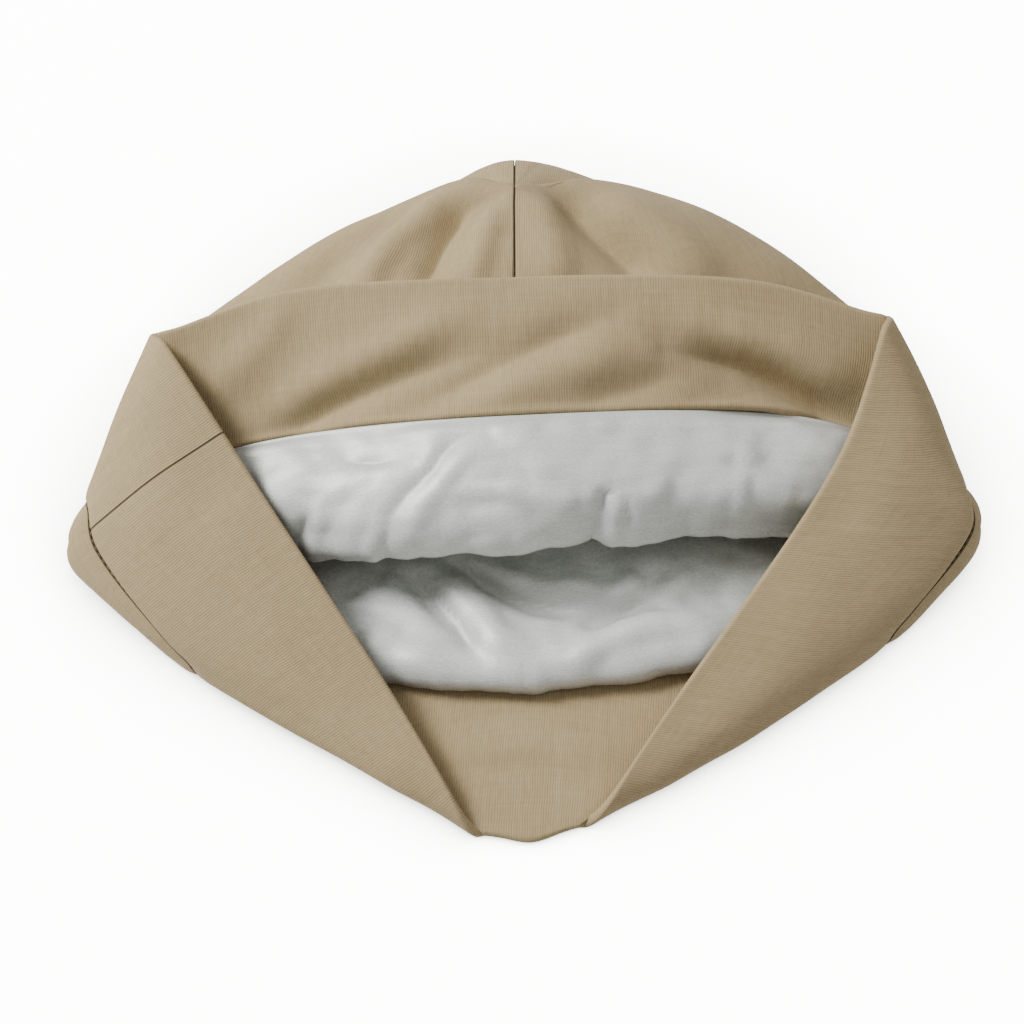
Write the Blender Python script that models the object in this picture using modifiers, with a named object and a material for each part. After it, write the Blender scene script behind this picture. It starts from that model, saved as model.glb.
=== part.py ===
"""A sleep bonnet: a jersey cap with a satin lining and a wide band, lying on a table.

Its upper lip is turned back over the crown, and its two sides are folded in, so that
the mouth stands open as a triangle. Metres, +Z up, the mouth towards -Y, and the
origin on the table under the middle of the bonnet.
"""

from collections import namedtuple
import math

import bpy
from mathutils import Matrix
import numpy as np

# The bonnet as it lies
LAID_WIDTH = 0.250
LAID_DEPTH = 0.197
LAID_HEIGHT = 0.048

# The cloth
JERSEY_WALL = 0.0012
SATIN_WALL = 0.0010
PIECE_GAP = 0.0003
SEAM_GAP = 0.0005

# How tightly the cloth is folded at the mouth
FOLD_REACH = 0.006
FOLD_RISE = 0.0028

# How far the upper cloth stands up beside the folds at the two sides, how far into the
# first row of faces the lining starts, how far it keeps out of the two side corners,
# and how many times the cloth in them is eased
SIDE_RISE = 0.0016
LINING_INSET = 0.7
CORNER_INSET = 0.0004
CORNER_EASE = 4

# How the lining, which is longer than the jersey, rolls up behind the floor's facing
ROLL_LENGTH = 0.030
ROLL_RISE = 0.0066

# Where the rows of faces lie, as shares of the band's cloth from the hem to its seam, and
# of the crown's from there to the tip: closer at the seam, and where it rolls and folds
BAND_ROWS = (0, 0.20, 0.40, 0.60, 0.80, 0.96, 1)
CROWN_ROWS = (
    0, 0.009, 0.035, 0.062, 0.090, 0.125, 0.160, 0.200, 0.240, 0.275, 0.305,
    0.335, 0.370, 0.420, 0.490, 0.570, 0.650, 0.730, 0.810, 0.880, 0.945, 1,
)
RING_SAMPLES = 48
COLUMN_SAMPLES = 12

# Colours, as linear red, green and blue
JERSEY_COLOUR = (0.47, 0.38, 0.25, 1.0)
SATIN_COLOUR = (0.62, 0.63, 0.61, 1.0)

# A place on the laid bonnet, as shares of its width, depth and height:
# across from the crown's seam, along from the front of the hem, and up from the table
Place = namedtuple("Place", "across along up")

# One round of the mouth's cloth. A turn is where the cloth folds up off the table,
# and a fold is where the flap that stands over the mouth folds down into the lip. Puff
# is how far the flap stands up next to them, and tuck how far the lip lies below its
# folds, as shares of the fold's rise.
Mouth = namedtuple(
    "Mouth",
    "puff tuck floor left_turn left_low left_high left_fold left_lip lip"
    " right_lip right_fold right_high right_low right_turn",
)
MOUTH_ROUNDS = [
    Mouth(
        puff=1.0,
        tuck=1.0,
        floor=Place(0.020, 0.008, 0),
        left_turn=Place(-0.043, 0.021, 0.095),
        left_low=Place(-0.119, 0.185, 0.24),
        left_high=Place(-0.266, 0.455, 0.60),
        left_fold=Place(-0.384, 0.675, 0.76),
        left_lip=Place(-0.228, 0.723, 0.88),
        lip=Place(0.003, 0.740, 0.93),
        right_lip=Place(0.246, 0.742, 0.88),
        right_fold=Place(0.405, 0.700, 0.78),
        right_high=Place(0.349, 0.510, 0.60),
        right_low=Place(0.167, 0.183, 0.24),
        right_turn=Place(0.089, 0.037, 0.095),
    ),
    Mouth(
        puff=1.0,
        tuck=1.0,
        floor=Place(0.025, 0.114, 0),
        left_turn=Place(-0.182, 0.128, 0.095),
        left_low=Place(-0.223, 0.205, 0.23),
        left_high=Place(-0.353, 0.435, 0.54),
        left_fold=Place(-0.425, 0.572, 0.54),
        left_lip=Place(-0.259, 0.630, 0.70),
        lip=Place(0.006, 0.642, 0.86),
        right_lip=Place(0.277, 0.655, 0.70),
        right_fold=Place(0.450, 0.600, 0.56),
        right_high=Place(0.422, 0.480, 0.52),
        right_low=Place(0.282, 0.220, 0.23),
        right_turn=Place(0.245, 0.152, 0.095),
    ),
    Mouth(
        puff=0.8,
        tuck=0.45,
        floor=Place(0.030, 0.232, 0),
        left_turn=Place(-0.332, 0.243, 0.080),
        left_low=Place(-0.369, 0.286, 0.18),
        left_high=Place(-0.447, 0.409, 0.30),
        left_fold=Place(-0.458, 0.480, 0.28),
        left_lip=Place(-0.292, 0.540, 0.45),
        lip=Place(0.008, 0.545, 0.78),
        right_lip=Place(0.349, 0.580, 0.42),
        right_fold=Place(0.488, 0.503, 0.28),
        right_high=Place(0.495, 0.437, 0.29),
        right_low=Place(0.432, 0.333, 0.18),
        right_turn=Place(0.399, 0.289, 0.080),
    ),
    Mouth(
        puff=-0.6,
        tuck=0.4,
        floor=Place(0.028, 0.272, 0),
        left_turn=Place(-0.343, 0.262, 0.035),
        left_low=Place(-0.400, 0.315, 0.085),
        left_high=Place(-0.480, 0.400, 0.125),
        left_fold=Place(-0.474, 0.443, 0.250),
        left_lip=Place(-0.300, 0.490, 0.44),
        lip=Place(0.007, 0.505, 0.765),
        right_lip=Place(0.355, 0.530, 0.41),
        right_fold=Place(0.507, 0.465, 0.250),
        right_high=Place(0.502, 0.420, 0.130),
        right_low=Place(0.452, 0.345, 0.085),
        right_turn=Place(0.408, 0.305, 0.035),
    ),
]

# One round of the crown's cloth, past the mouth. Below, it runs from a fold at the left
# side along the table to a fold at the right, and above, it arches back over. Gathered
# is how closely the cloth is drawn in at the two sides, bow is how late the upper run
# bends away towards them, and hang is how steeply it comes down to them.
Crown = namedtuple(
    "Crown", "floor_along floor_up top_along top_up left right side_up gathered bow hang"
)
CROWN_ROUNDS = [
    Crown(0.320, 0.00, 0.455, 0.740, Place(-0.487, 0.410, 0), Place(0.509, 0.432, 0), 0.142, 1.00, 2.5, 4.0),
    Crown(0.375, 0.00, 0.400, 0.680, Place(-0.474, 0.455, 0), Place(0.508, 0.478, 0), 0.092, 0.90, 3.0, 5.5),
    Crown(0.440, 0.00, 0.372, 0.500, Place(-0.457, 0.510, 0), Place(0.490, 0.530, 0), 0.092, 0.80, 3.0, 4.5),
    Crown(0.520, 0.00, 0.395, 0.375, Place(-0.438, 0.560, 0), Place(0.470, 0.590, 0), 0.092, 0.65, 3.0, 3.2),
    Crown(0.610, 0.00, 0.455, 0.360, Place(-0.415, 0.630, 0), Place(0.450, 0.650, 0), 0.090, 0.50, 2.5, 2.2),
    Crown(0.740, 0.00, 0.560, 0.500, Place(-0.370, 0.740, 0), Place(0.405, 0.755, 0), 0.180, 0.20, 2.0, 1.6),
    Crown(0.870, 0.02, 0.690, 0.710, Place(-0.283, 0.820, 0), Place(0.335, 0.830, 0), 0.300, 0.00, 2.0, 1.4),
    Crown(0.958, 0.21, 0.797, 0.800, Place(-0.166, 0.900, 0), Place(0.232, 0.906, 0), 0.420, 0.00, 2.0, 1.3),
    Crown(0.980, 0.58, 0.863, 0.825, Place(-0.062, 0.938, 0), Place(0.100, 0.940, 0), 0.580, 0.00, 2.0, 1.2),
]
CROWN_TIP = Place(0.003, 0.900, 0.83)

# The faces between the twelve stations of half a round, and where the stations lie where
# the cloth is most drawn in at the sides, as shares of the half from floor to top
FACES_BETWEEN = (3, 2, 2, 2, 2, 3, 2, 2, 2, 3, 5)
GATHERED = (0, 0.16, 0.285, 0.31, 0.335, 0.37, 0.45, 0.47, 0.485, 0.505, 0.70, 1)

# The roll of the lining, as shares of its length and rise: where a row of the cloth
# would lie flat, how far past the seam it lies, and how far up it stands. It fades out
# from column to column under the flaps
Roll = namedtuple("Roll", "flat past up")
ROLL = [
    Roll(0.00, 0.00, 0.00),
    Roll(0.11, 0.065, 0.32),
    Roll(0.22, 0.05, 0.76),
    Roll(0.36, 0.15, 1.00),
    Roll(0.50, 0.34, 0.88),
    Roll(0.70, 0.60, 0.50),
    Roll(0.88, 0.84, 0.13),
    Roll(1.00, 1.00, 0.00),
]
ROLL_FADE = (1, 1, 0.95, 0.7, 0.3)

# The soft folds in the cloth, seen from above: where each one runs, how wide it is on
# either side as a share of the width, and how far it lifts or dips the cloth
Fold = namedtuple("Fold", "across along to_across to_along half_width lift")
BAND_FOLDS = [
    Fold(-0.276, 0.522, -0.098, 0.614, 0.020, -0.030),
    Fold(-0.287, 0.562, -0.120, 0.647, 0.020, 0.020),
    Fold(-0.087, 0.562, 0.051, 0.647, 0.020, -0.025),
    Fold(0.137, 0.655, 0.222, 0.630, 0.016, -0.030),
    Fold(0.202, 0.648, 0.360, 0.585, 0.020, -0.060),
]
CROWN_FOLDS = [
    Fold(-0.008, 0.875, -0.079, 0.700, 0.022, -0.030),
    Fold(-0.030, 0.907, -0.185, 0.700, 0.024, 0.045),
    Fold(-0.081, 0.912, -0.240, 0.740, 0.022, -0.035),
    Fold(0.048, 0.924, 0.180, 0.740, 0.026, -0.060),
    Fold(0.088, 0.946, 0.297, 0.770, 0.034, 0.040),
    Fold(0.020, 0.897, 0.053, 0.700, 0.020, 0.025),
]
LOWER_SATIN_FOLDS = [
    Fold(-0.117, 0.413, -0.034, 0.285, 0.018, -0.030),
    Fold(-0.089, 0.406, 0.000, 0.270, 0.018, 0.055),
    Fold(-0.046, 0.409, 0.052, 0.338, 0.016, 0.040),
    Fold(0.094, 0.288, 0.171, 0.363, 0.018, 0.035),
]
UPPER_SATIN_FOLDS = [
    Fold(-0.177, 0.483, -0.114, 0.495, 0.012, 0.030),
    Fold(-0.088, 0.493, -0.113, 0.403, 0.014, 0.035),
    Fold(-0.024, 0.533, -0.044, 0.443, 0.014, 0.030),
    Fold(0.150, 0.520, 0.165, 0.430, 0.016, 0.030),
]


def outer_half():
    """How far the jersey's outer face stands off the middle of the cloth."""
    return PIECE_GAP / 2 + JERSEY_WALL


def inner_half():
    """How far the satin's inner face stands off the middle of the cloth."""
    return PIECE_GAP / 2 + SATIN_WALL


def position(place):
    """A Place as a point in metres, with the cloth no lower than the table lets it."""
    return np.array(
        [
            place.across * LAID_WIDTH,
            (place.along - 0.5) * LAID_DEPTH,
            max(place.up * LAID_HEIGHT, outer_half()),
        ]
    )


def smooth_line(points, counts, closed):
    """A centripetal Catmull-Rom line, with counts[i] steps from point i to the next."""
    points = np.asarray(points, float)
    last = len(points)
    line = []
    for i, count in enumerate(counts):
        if closed:
            a, b, c, d = (points[(i + k) % last] for k in (-1, 0, 1, 2))
        else:
            b, c = points[i], points[i + 1]
            a = points[i - 1] if i else 2 * b - c
            d = points[i + 2] if i + 2 < last else 2 * c - b
        before, here, after = (
            max(math.sqrt(np.linalg.norm(q - p)), 1e-6) for p, q in ((a, b), (b, c), (c, d))
        )
        leave = (c - b) + here * ((b - a) / before - (c - a) / (before + here))
        arrive = (c - b) + here * ((d - c) / after - (d - b) / (here + after))
        for k in range(count):
            t = k / count
            line.append(
                (2 * (b - c) + leave + arrive) * t**3
                + (3 * (c - b) - 2 * leave - arrive) * t**2
                + leave * t
                + b
            )
    if not closed:
        line.append(points[-1])
    return np.array(line)


def arc_lengths(line):
    """The length along a line of points up to each of them."""
    steps = np.linalg.norm(np.diff(line, axis=0), axis=1)
    return np.concatenate([[0], np.cumsum(steps)])


def at_lengths(line, lengths):
    """The points at these lengths along a line of points."""
    along = arc_lengths(line)
    return np.stack([np.interp(lengths, along, line[:, k]) for k in range(3)], axis=-1)


def beside_fold(tip, towards, rise):
    """The point next to a fold's tip, on the cloth that leads towards a point."""
    way = (towards - tip) * (1, 1, 0)
    reach = min(FOLD_REACH, np.linalg.norm(way) / 3)
    return tip + way / np.linalg.norm(way) * reach + (0, 0, rise)


def mouth_half(puff, tuck, floor, turn, low, high, fold, side, lip):
    """The twelve stations of half a round of the mouth, from the floor to the lip."""
    middle = (floor + turn * (1, 1, 0) + (0, 0, floor[2])) / 2
    under = beside_fold(turn, middle, 0)
    under[2] = floor[2]
    return [
        floor,
        middle,
        under,
        turn,
        beside_fold(turn, low, puff * FOLD_RISE),
        low,
        high,
        beside_fold(fold, high, puff * FOLD_RISE),
        fold,
        beside_fold(fold, side, -tuck * FOLD_RISE),
        side,
        lip,
    ]


def mouth_ring(row):
    """The points of one round of the mouth, in columns from the floor by the left."""
    at = Mouth(row.puff, row.tuck, *(position(place) for place in row[2:]))
    beside = (row.puff, row.tuck, at.floor)
    left = (at.left_turn, at.left_low, at.left_high, at.left_fold, at.left_lip, at.lip)
    right = (at.right_turn, at.right_low, at.right_high, at.right_fold, at.right_lip, at.lip)
    left, right = mouth_half(*beside, *left), mouth_half(*beside, *right)
    stations = left + right[-2:0:-1]
    return smooth_line(stations, FACES_BETWEEN + FACES_BETWEEN[::-1], closed=True)


def crown_half(row, side, seam_across):
    """Half a round of the crown as a fine line, from the floor round one side to the top."""
    edge = position(side._replace(up=row.side_up))
    floor = position(Place(seam_across, row.floor_along, row.floor_up))
    top = position(Place(seam_across, row.top_along, row.top_up))
    line = []
    for step in range(2 * RING_SAMPLES + 1):
        angle = math.pi * step / (2 * RING_SAMPLES)
        share = math.sin(angle)
        across = floor[0] + (edge[0] - floor[0]) * share
        if angle < math.pi / 2:
            along = floor[1] + (edge[1] - floor[1]) * share**2
            up = floor[2] + (edge[2] - floor[2]) * (1 - math.cos(angle)) ** 3
        else:
            along = top[1] + (edge[1] - top[1]) * share**row.bow
            rise = SIDE_RISE * easing(-math.cos(angle), 0, 0.25)
            up = edge[2] + rise + (top[2] - edge[2] - rise) * abs(math.cos(angle)) ** row.hang
        line.append((across, along, up))
    return np.array(line)


def column_shares(gathered):
    """Where each column of half a round lies, as a share of its length."""
    even = np.concatenate([[0], np.cumsum(FACES_BETWEEN)]) / sum(FACES_BETWEEN)
    stations = np.array(GATHERED) * gathered + even * (1 - gathered)
    shares = [0.0]
    for start, end, count in zip(stations, stations[1:], FACES_BETWEEN):
        shares += list(np.linspace(start, end, count + 1)[1:])
    return np.array(shares)


def crown_ring(row):
    """The points of one round of the crown, in the same columns as the mouth's."""
    shares = column_shares(row.gathered)
    halves = []
    for side in (row.left, row.right):
        line = crown_half(row, side, CROWN_TIP.across)
        halves.append(at_lengths(line, shares * arc_lengths(line)[-1]))
    left, right = halves
    return np.concatenate([left[:-1], right[:0:-1]])


def up_to_seam(line):
    """The part of a column's fine line that is the band, the last round but one's."""
    return line[: (len(MOUTH_ROUNDS) - 2) * COLUMN_SAMPLES + 1]


def draped_columns():
    """Each column of the cloth as a fine line from the hem to the crown's tip."""
    rings = [mouth_ring(row) for row in MOUTH_ROUNDS]
    rings += [crown_ring(row) for row in CROWN_ROUNDS]
    tip = position(CROWN_TIP)
    columns = []
    for column in range(len(rings[0])):
        points = [ring[column] for ring in rings] + [tip]
        columns.append(smooth_line(points, [COLUMN_SAMPLES] * (len(points) - 1), closed=False))
    return columns


def cut_rows(lines, starts, shares, end_trim):
    """Rows of points across lines, at shares of the length past a start on each."""
    grid = []
    for line, start in zip(lines, starts):
        whole = arc_lengths(line)[-1] - end_trim
        grid.append(at_lengths(line, start + shares * (whole - start)))
    return np.array(grid).transpose(1, 0, 2)


def easing(value, start, end):
    """A smooth step from 0 at the start to 1 at the end."""
    share = np.clip((value - start) / (end - start), 0, 1)
    return share * share * (3 - 2 * share)


def fold_lift(points, folds):
    """How far folds lift the cloth at points, in metres."""
    lift = np.zeros(points.shape[:-1])
    for fold in folds:
        start = np.array([fold.across * LAID_WIDTH, (fold.along - 0.5) * LAID_DEPTH])
        end = np.array([fold.to_across * LAID_WIDTH, (fold.to_along - 0.5) * LAID_DEPTH])
        run = end - start
        way = points[..., :2] - start
        share = way @ run / (run @ run)
        off = (way[..., 0] * run[1] - way[..., 1] * run[0]) / np.linalg.norm(run)
        ends = easing(share, -0.15, 0.25) * easing(share, 1.15, 0.75)
        lift += fold.lift * LAID_HEIGHT * ends * np.exp(-((off / (fold.half_width * LAID_WIDTH)) ** 2))
    return lift


def column_weights(first, last, fade):
    """1 between two stations of each half, counted from the floor, fading out in faces."""
    at = np.concatenate([[0], np.cumsum(FACES_BETWEEN)])
    half = np.arange(at[-1] + 1)
    weights = easing(half, at[first] - fade, at[first]) * easing(half, at[last] + fade, at[last])
    if first == 0:
        weights = easing(half, at[last] + fade, at[last])
    return np.concatenate([weights[:-1], weights[:0:-1]])


def relaxed_corners(grid):
    """The grid with the cloth in the two side corners drawn into softer folds."""
    for _ in range(CORNER_EASE):
        eased = grid[2:-1]
        beside = (np.roll(grid, 1, axis=1) + np.roll(grid, -1, axis=1))[2:-1]
        mean = (grid[1:-2] + grid[3:] + beside) / 4
        share = easing(np.abs(eased[..., :1]), 0.40 * LAID_WIDTH, 0.46 * LAID_WIDTH) / 2
        grid[2:-1] = eased + share * (mean - eased)
    return grid


def keep_above_table(grid):
    """Lifts what would lie lower than the table lets it."""
    grid[..., 2] = np.maximum(grid[..., 2], outer_half())
    return grid


def cut_band(lines):
    """The band's cloth as a grid of points, from the hem to its seam."""
    upto = [up_to_seam(line) for line in lines]
    grid = cut_rows(upto, np.zeros(len(lines)), np.array(BAND_ROWS), SEAM_GAP / 2)
    grid[..., 2] += fold_lift(grid, BAND_FOLDS) * column_weights(9, 11, 2)
    return keep_above_table(grid)


def cut_crown(lines, seams):
    """The crown's cloth as a grid of points, from the seam to the tip."""
    rows = np.array(CROWN_ROWS)
    grid = cut_rows(lines, seams + SEAM_GAP / 2, rows, 0)
    grid[..., 2] += (
        fold_lift(grid, CROWN_FOLDS)
        * column_weights(7, 11, 4)
        * easing(rows, 0.45, 0.60)[:, None]
        * easing(rows, 1.0, 0.93)[:, None]
    )
    return keep_above_table(relaxed_corners(grid))


def cut_lining(lines, seams, crown):
    """The lining's cloth: the crown's, but rolled and folded where there is more of it."""
    rows = np.array(CROWN_ROWS)
    grid = crown.copy()
    flat, past, up = np.array(ROLL).T
    fade = np.zeros(len(lines))
    for step, weight in enumerate(ROLL_FADE):
        fade[[step, -step]] = weight
    for column, (line, seam, weight) in enumerate(zip(lines, seams, fade)):
        if weight == 0:
            continue
        start = seam + SEAM_GAP / 2
        lengths = rows * (arc_lengths(line)[-1] - start)
        shares = lengths / ROLL_LENGTH
        rolled = shares < 1
        shift = (np.interp(shares, flat, past) - shares) * ROLL_LENGTH * weight
        grid[rolled, column] = at_lengths(line, start + (lengths + shift)[rolled])
        grid[rolled, column, 2] += (np.interp(shares, flat, up) * ROLL_RISE * weight)[rolled]
    grid[0] += LINING_INSET * (grid[1] - grid[0])
    near_mouth = easing(rows, 0.02, 0.08)[:, None] * easing(rows, 0.30, 0.22)[:, None]
    lower = near_mouth * column_weights(0, 2, 1)
    upper = near_mouth * column_weights(9, 11, 1)
    grid[..., 2] += np.maximum(fold_lift(grid, LOWER_SATIN_FOLDS), 0) * lower
    grid[..., 2] += np.maximum(fold_lift(grid, UPPER_SATIN_FOLDS), 0) * upper
    across = grid[..., 0]
    corners = easing(np.abs(across), 0.42 * LAID_WIDTH, 0.48 * LAID_WIDTH)
    across -= np.sign(across) * CORNER_INSET * corners
    return keep_above_table(grid)


def half_of(grid, half, side):
    """One half of a round grid, moved off its seam, the side being -1 left and 1 right."""
    columns = np.arange(half + 1) + (0 if side < 0 else half)
    part = grid[:, columns % (2 * half)].copy()
    part[:, [0, -1], 0] += side * SEAM_GAP / 2
    part[-1, :, 0] = part[-1, 0, 0]
    return part


def sheet_object(name, grid, closed, pole, material, inner, outer):
    """A sheet through a grid of points, thickened to both sides of the cloth's middle."""
    rows, columns = grid.shape[:2]
    whole_rows = rows - 1 if pole else rows
    spans = columns if closed else columns - 1
    vertices = [tuple(p) for p in grid[:whole_rows].reshape(-1, 3)]
    faces = []
    for row in range(whole_rows - 1):
        for column in range(spans):
            here, there = row * columns + column, row * columns + (column + 1) % columns
            faces.append((here, there, there + columns, here + columns))
    if pole:
        tip = len(vertices)
        vertices.append(tuple(grid[-1, 0]))
        last = (whole_rows - 1) * columns
        for column in range(spans):
            faces.append((last + column, last + (column + 1) % columns, tip))
    mesh = bpy.data.meshes.new(name)
    mesh.from_pydata(vertices, [], faces)
    mesh.materials.append(material)
    mesh.shade_smooth()
    sheet = bpy.data.objects.new(name, mesh)
    lift = sheet.modifiers.new("stand_off", "DISPLACE")
    lift.mid_level = 0
    lift.strength = inner
    thicken = sheet.modifiers.new("wall", "SOLIDIFY")
    thicken.thickness = outer - inner
    thicken.offset = 1
    return sheet


def principled(name, colour, roughness):
    """A Principled material of one colour."""
    material = bpy.data.materials.new(name)
    material.use_nodes = True
    shader = material.node_tree.nodes["Principled BSDF"]
    shader.inputs["Base Color"].default_value = colour
    shader.inputs["Roughness"].default_value = roughness
    return material


def stand_on_table(sheets):
    """Moves the sheets so that the origin is on the table under their middle."""
    depsgraph = bpy.context.evaluated_depsgraph_get()
    corners = np.array([c for s in sheets for c in s.evaluated_get(depsgraph).bound_box])
    low, high = corners.min(axis=0), corners.max(axis=0)
    shift = -np.array([(low[0] + high[0]) / 2, (low[1] + high[1]) / 2, low[2]])
    for sheet in sheets:
        sheet.data.transform(Matrix.Translation(shift))


def main():
    for thing in list(bpy.data.objects):
        bpy.data.objects.remove(thing)
    bonnet = bpy.data.collections.new("sleep_bonnet")
    bpy.context.scene.collection.children.link(bonnet)
    jersey = principled("jersey", JERSEY_COLOUR, 0.9)
    satin = principled("satin", SATIN_COLOUR, 0.35)
    lines = draped_columns()
    seams = np.array([arc_lengths(up_to_seam(line))[-1] for line in lines])
    band = cut_band(lines)
    crown = cut_crown(lines, seams)
    lining = cut_lining(lines, seams, crown)
    half = len(lines) // 2
    hidden, shown = PIECE_GAP / 2, outer_half()
    sheets = [
        sheet_object("band", band, True, False, jersey, -inner_half(), shown),
        sheet_object("crown_left", half_of(crown, half, -1), False, True, jersey, hidden, shown),
        sheet_object("crown_right", half_of(crown, half, 1), False, True, jersey, hidden, shown),
        sheet_object("lining", lining, True, True, satin, -inner_half(), -hidden),
    ]
    for sheet in sheets:
        bonnet.objects.link(sheet)
    stand_on_table(sheets)


main()
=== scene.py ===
"""The looks of the sleep bonnet: knit jersey, satin and sewn seams, laid on a table.

The cloth is draped here from the same sections as the solids, but much finer, and it
gets the creases, gathers and rolled edges that the solids leave out.
"""

from dataclasses import dataclass, field
from enum import Enum
import logging
import math
from typing import NamedTuple, Sequence

import bpy
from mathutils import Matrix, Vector, noise
import numpy as np


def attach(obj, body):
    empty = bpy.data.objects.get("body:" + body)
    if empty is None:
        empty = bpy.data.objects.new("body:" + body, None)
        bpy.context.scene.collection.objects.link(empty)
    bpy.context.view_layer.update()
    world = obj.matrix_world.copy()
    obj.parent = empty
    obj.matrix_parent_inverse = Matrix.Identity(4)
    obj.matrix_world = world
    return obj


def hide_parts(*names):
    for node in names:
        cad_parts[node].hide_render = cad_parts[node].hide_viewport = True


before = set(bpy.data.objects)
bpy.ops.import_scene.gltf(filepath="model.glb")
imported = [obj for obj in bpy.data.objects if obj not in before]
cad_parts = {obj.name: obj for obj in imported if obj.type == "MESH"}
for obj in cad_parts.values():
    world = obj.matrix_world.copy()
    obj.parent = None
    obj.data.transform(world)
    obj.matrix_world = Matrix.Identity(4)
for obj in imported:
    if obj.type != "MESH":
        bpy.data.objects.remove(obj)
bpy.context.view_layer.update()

log = logging.getLogger("sleep_bonnet")

BODY = "root"


class Place(NamedTuple):
    """A place on the laid bonnet, as shares of its width, depth and height."""

    across: float
    along: float
    up: float = 0.0


class MouthRound(NamedTuple):
    """One round of the mouth's cloth, from the floor by its turns and folds to the lip."""

    puff: float
    tuck: float
    floor: Place
    left_turn: Place
    left_low: Place
    left_high: Place
    left_fold: Place
    left_lip: Place
    lip: Place
    right_lip: Place
    right_fold: Place
    right_high: Place
    right_low: Place
    right_turn: Place


class CrownRound(NamedTuple):
    """One round of the crown's cloth, along the table below and arched back above."""

    floor_along: float
    floor_up: float
    top_along: float
    top_up: float
    left: Place
    right: Place
    side_up: float
    gathered: float
    bow: float
    hang: float


class Roll(NamedTuple):
    """A row of the lining's roll, as shares of its length and rise."""

    flat: float
    past: float
    up: float


class Crease(NamedTuple):
    """A crease seen from above: its run, its width and how far it lifts the cloth.

    Run is pairs of shares across and along. Width and lift are in millimetres. Slant
    makes one side steeper than the other, from -1 to 1.
    """

    run: tuple[tuple[float, float], ...]
    width: float
    lift: float
    slant: float = 0.0


class Fade(NamedTuple):
    """A smooth step, from 0 at its start to 1 at its end, which may be the lower."""

    start: float
    end: float


class Grain(NamedTuple):
    """A noise in the cloth's colour: waves in a metre both ways, its detail, its weight."""

    across: float
    along: float
    detail: float
    weight: float


class Rumple(NamedTuple):
    """A small unevenness of cloth: waves in a metre, their height, a place in the noise."""

    waves: float
    height: float
    seed: float


class Lamp(NamedTuple):
    """A soft square light: its place and side in metres, and its power in watts."""

    name: str
    place: tuple[float, float, float]
    side: float
    power: float


class Panel(NamedTuple):
    """Columns that share one map of the cloth, which runs from the origin column.

    Offset moves the map, so that only a panel with a seam at its origin has its map's
    zero on the cloth. The finish sinks the cloth there.
    """

    first: int
    last: int
    origin: int
    offset: float = 1.0


class Side(Enum):
    """The two halves of the crown."""

    LEFT = -1
    RIGHT = 1


class Face(Enum):
    """The two faces of a cloth wall."""

    OUTER = 1
    INNER = -1


# The sections of the laid cloth, as shares of its sizes
MOUTH_ROUNDS = (
    MouthRound(
        puff=1.3,
        tuck=-0.3,
        floor=Place(0.020, 0.008),
        left_turn=Place(-0.043, 0.021, 0.095),
        left_low=Place(-0.119, 0.185, 0.24),
        left_high=Place(-0.266, 0.455, 0.60),
        left_fold=Place(-0.384, 0.675, 0.76),
        left_lip=Place(-0.245, 0.723, 0.89),
        lip=Place(0.003, 0.740, 0.93),
        right_lip=Place(0.262, 0.741, 0.89),
        right_fold=Place(0.405, 0.700, 0.78),
        right_high=Place(0.349, 0.510, 0.60),
        right_low=Place(0.167, 0.183, 0.24),
        right_turn=Place(0.089, 0.037, 0.095),
    ),
    MouthRound(
        puff=1.0,
        tuck=0.7,
        floor=Place(0.025, 0.114),
        left_turn=Place(-0.182, 0.128, 0.095),
        left_low=Place(-0.223, 0.205, 0.23),
        left_high=Place(-0.353, 0.435, 0.54),
        left_fold=Place(-0.425, 0.572, 0.54),
        left_lip=Place(-0.259, 0.630, 0.70),
        lip=Place(0.006, 0.642, 0.86),
        right_lip=Place(0.277, 0.655, 0.70),
        right_fold=Place(0.450, 0.600, 0.56),
        right_high=Place(0.422, 0.480, 0.52),
        right_low=Place(0.282, 0.220, 0.23),
        right_turn=Place(0.245, 0.152, 0.095),
    ),
    MouthRound(
        puff=0.8,
        tuck=0.45,
        floor=Place(0.030, 0.232),
        left_turn=Place(-0.332, 0.243, 0.080),
        left_low=Place(-0.369, 0.286, 0.18),
        left_high=Place(-0.447, 0.409, 0.30),
        left_fold=Place(-0.458, 0.480, 0.28),
        left_lip=Place(-0.292, 0.540, 0.45),
        lip=Place(0.008, 0.545, 0.78),
        right_lip=Place(0.349, 0.580, 0.42),
        right_fold=Place(0.488, 0.503, 0.28),
        right_high=Place(0.495, 0.437, 0.29),
        right_low=Place(0.432, 0.333, 0.18),
        right_turn=Place(0.399, 0.289, 0.080),
    ),
    MouthRound(
        puff=-0.6,
        tuck=0.4,
        floor=Place(0.028, 0.272),
        left_turn=Place(-0.343, 0.262, 0.035),
        left_low=Place(-0.400, 0.315, 0.085),
        left_high=Place(-0.480, 0.400, 0.125),
        left_fold=Place(-0.474, 0.443, 0.250),
        left_lip=Place(-0.300, 0.490, 0.44),
        lip=Place(0.007, 0.505, 0.765),
        right_lip=Place(0.355, 0.530, 0.41),
        right_fold=Place(0.507, 0.465, 0.250),
        right_high=Place(0.502, 0.420, 0.130),
        right_low=Place(0.452, 0.345, 0.085),
        right_turn=Place(0.408, 0.305, 0.035),
    ),
)
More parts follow.
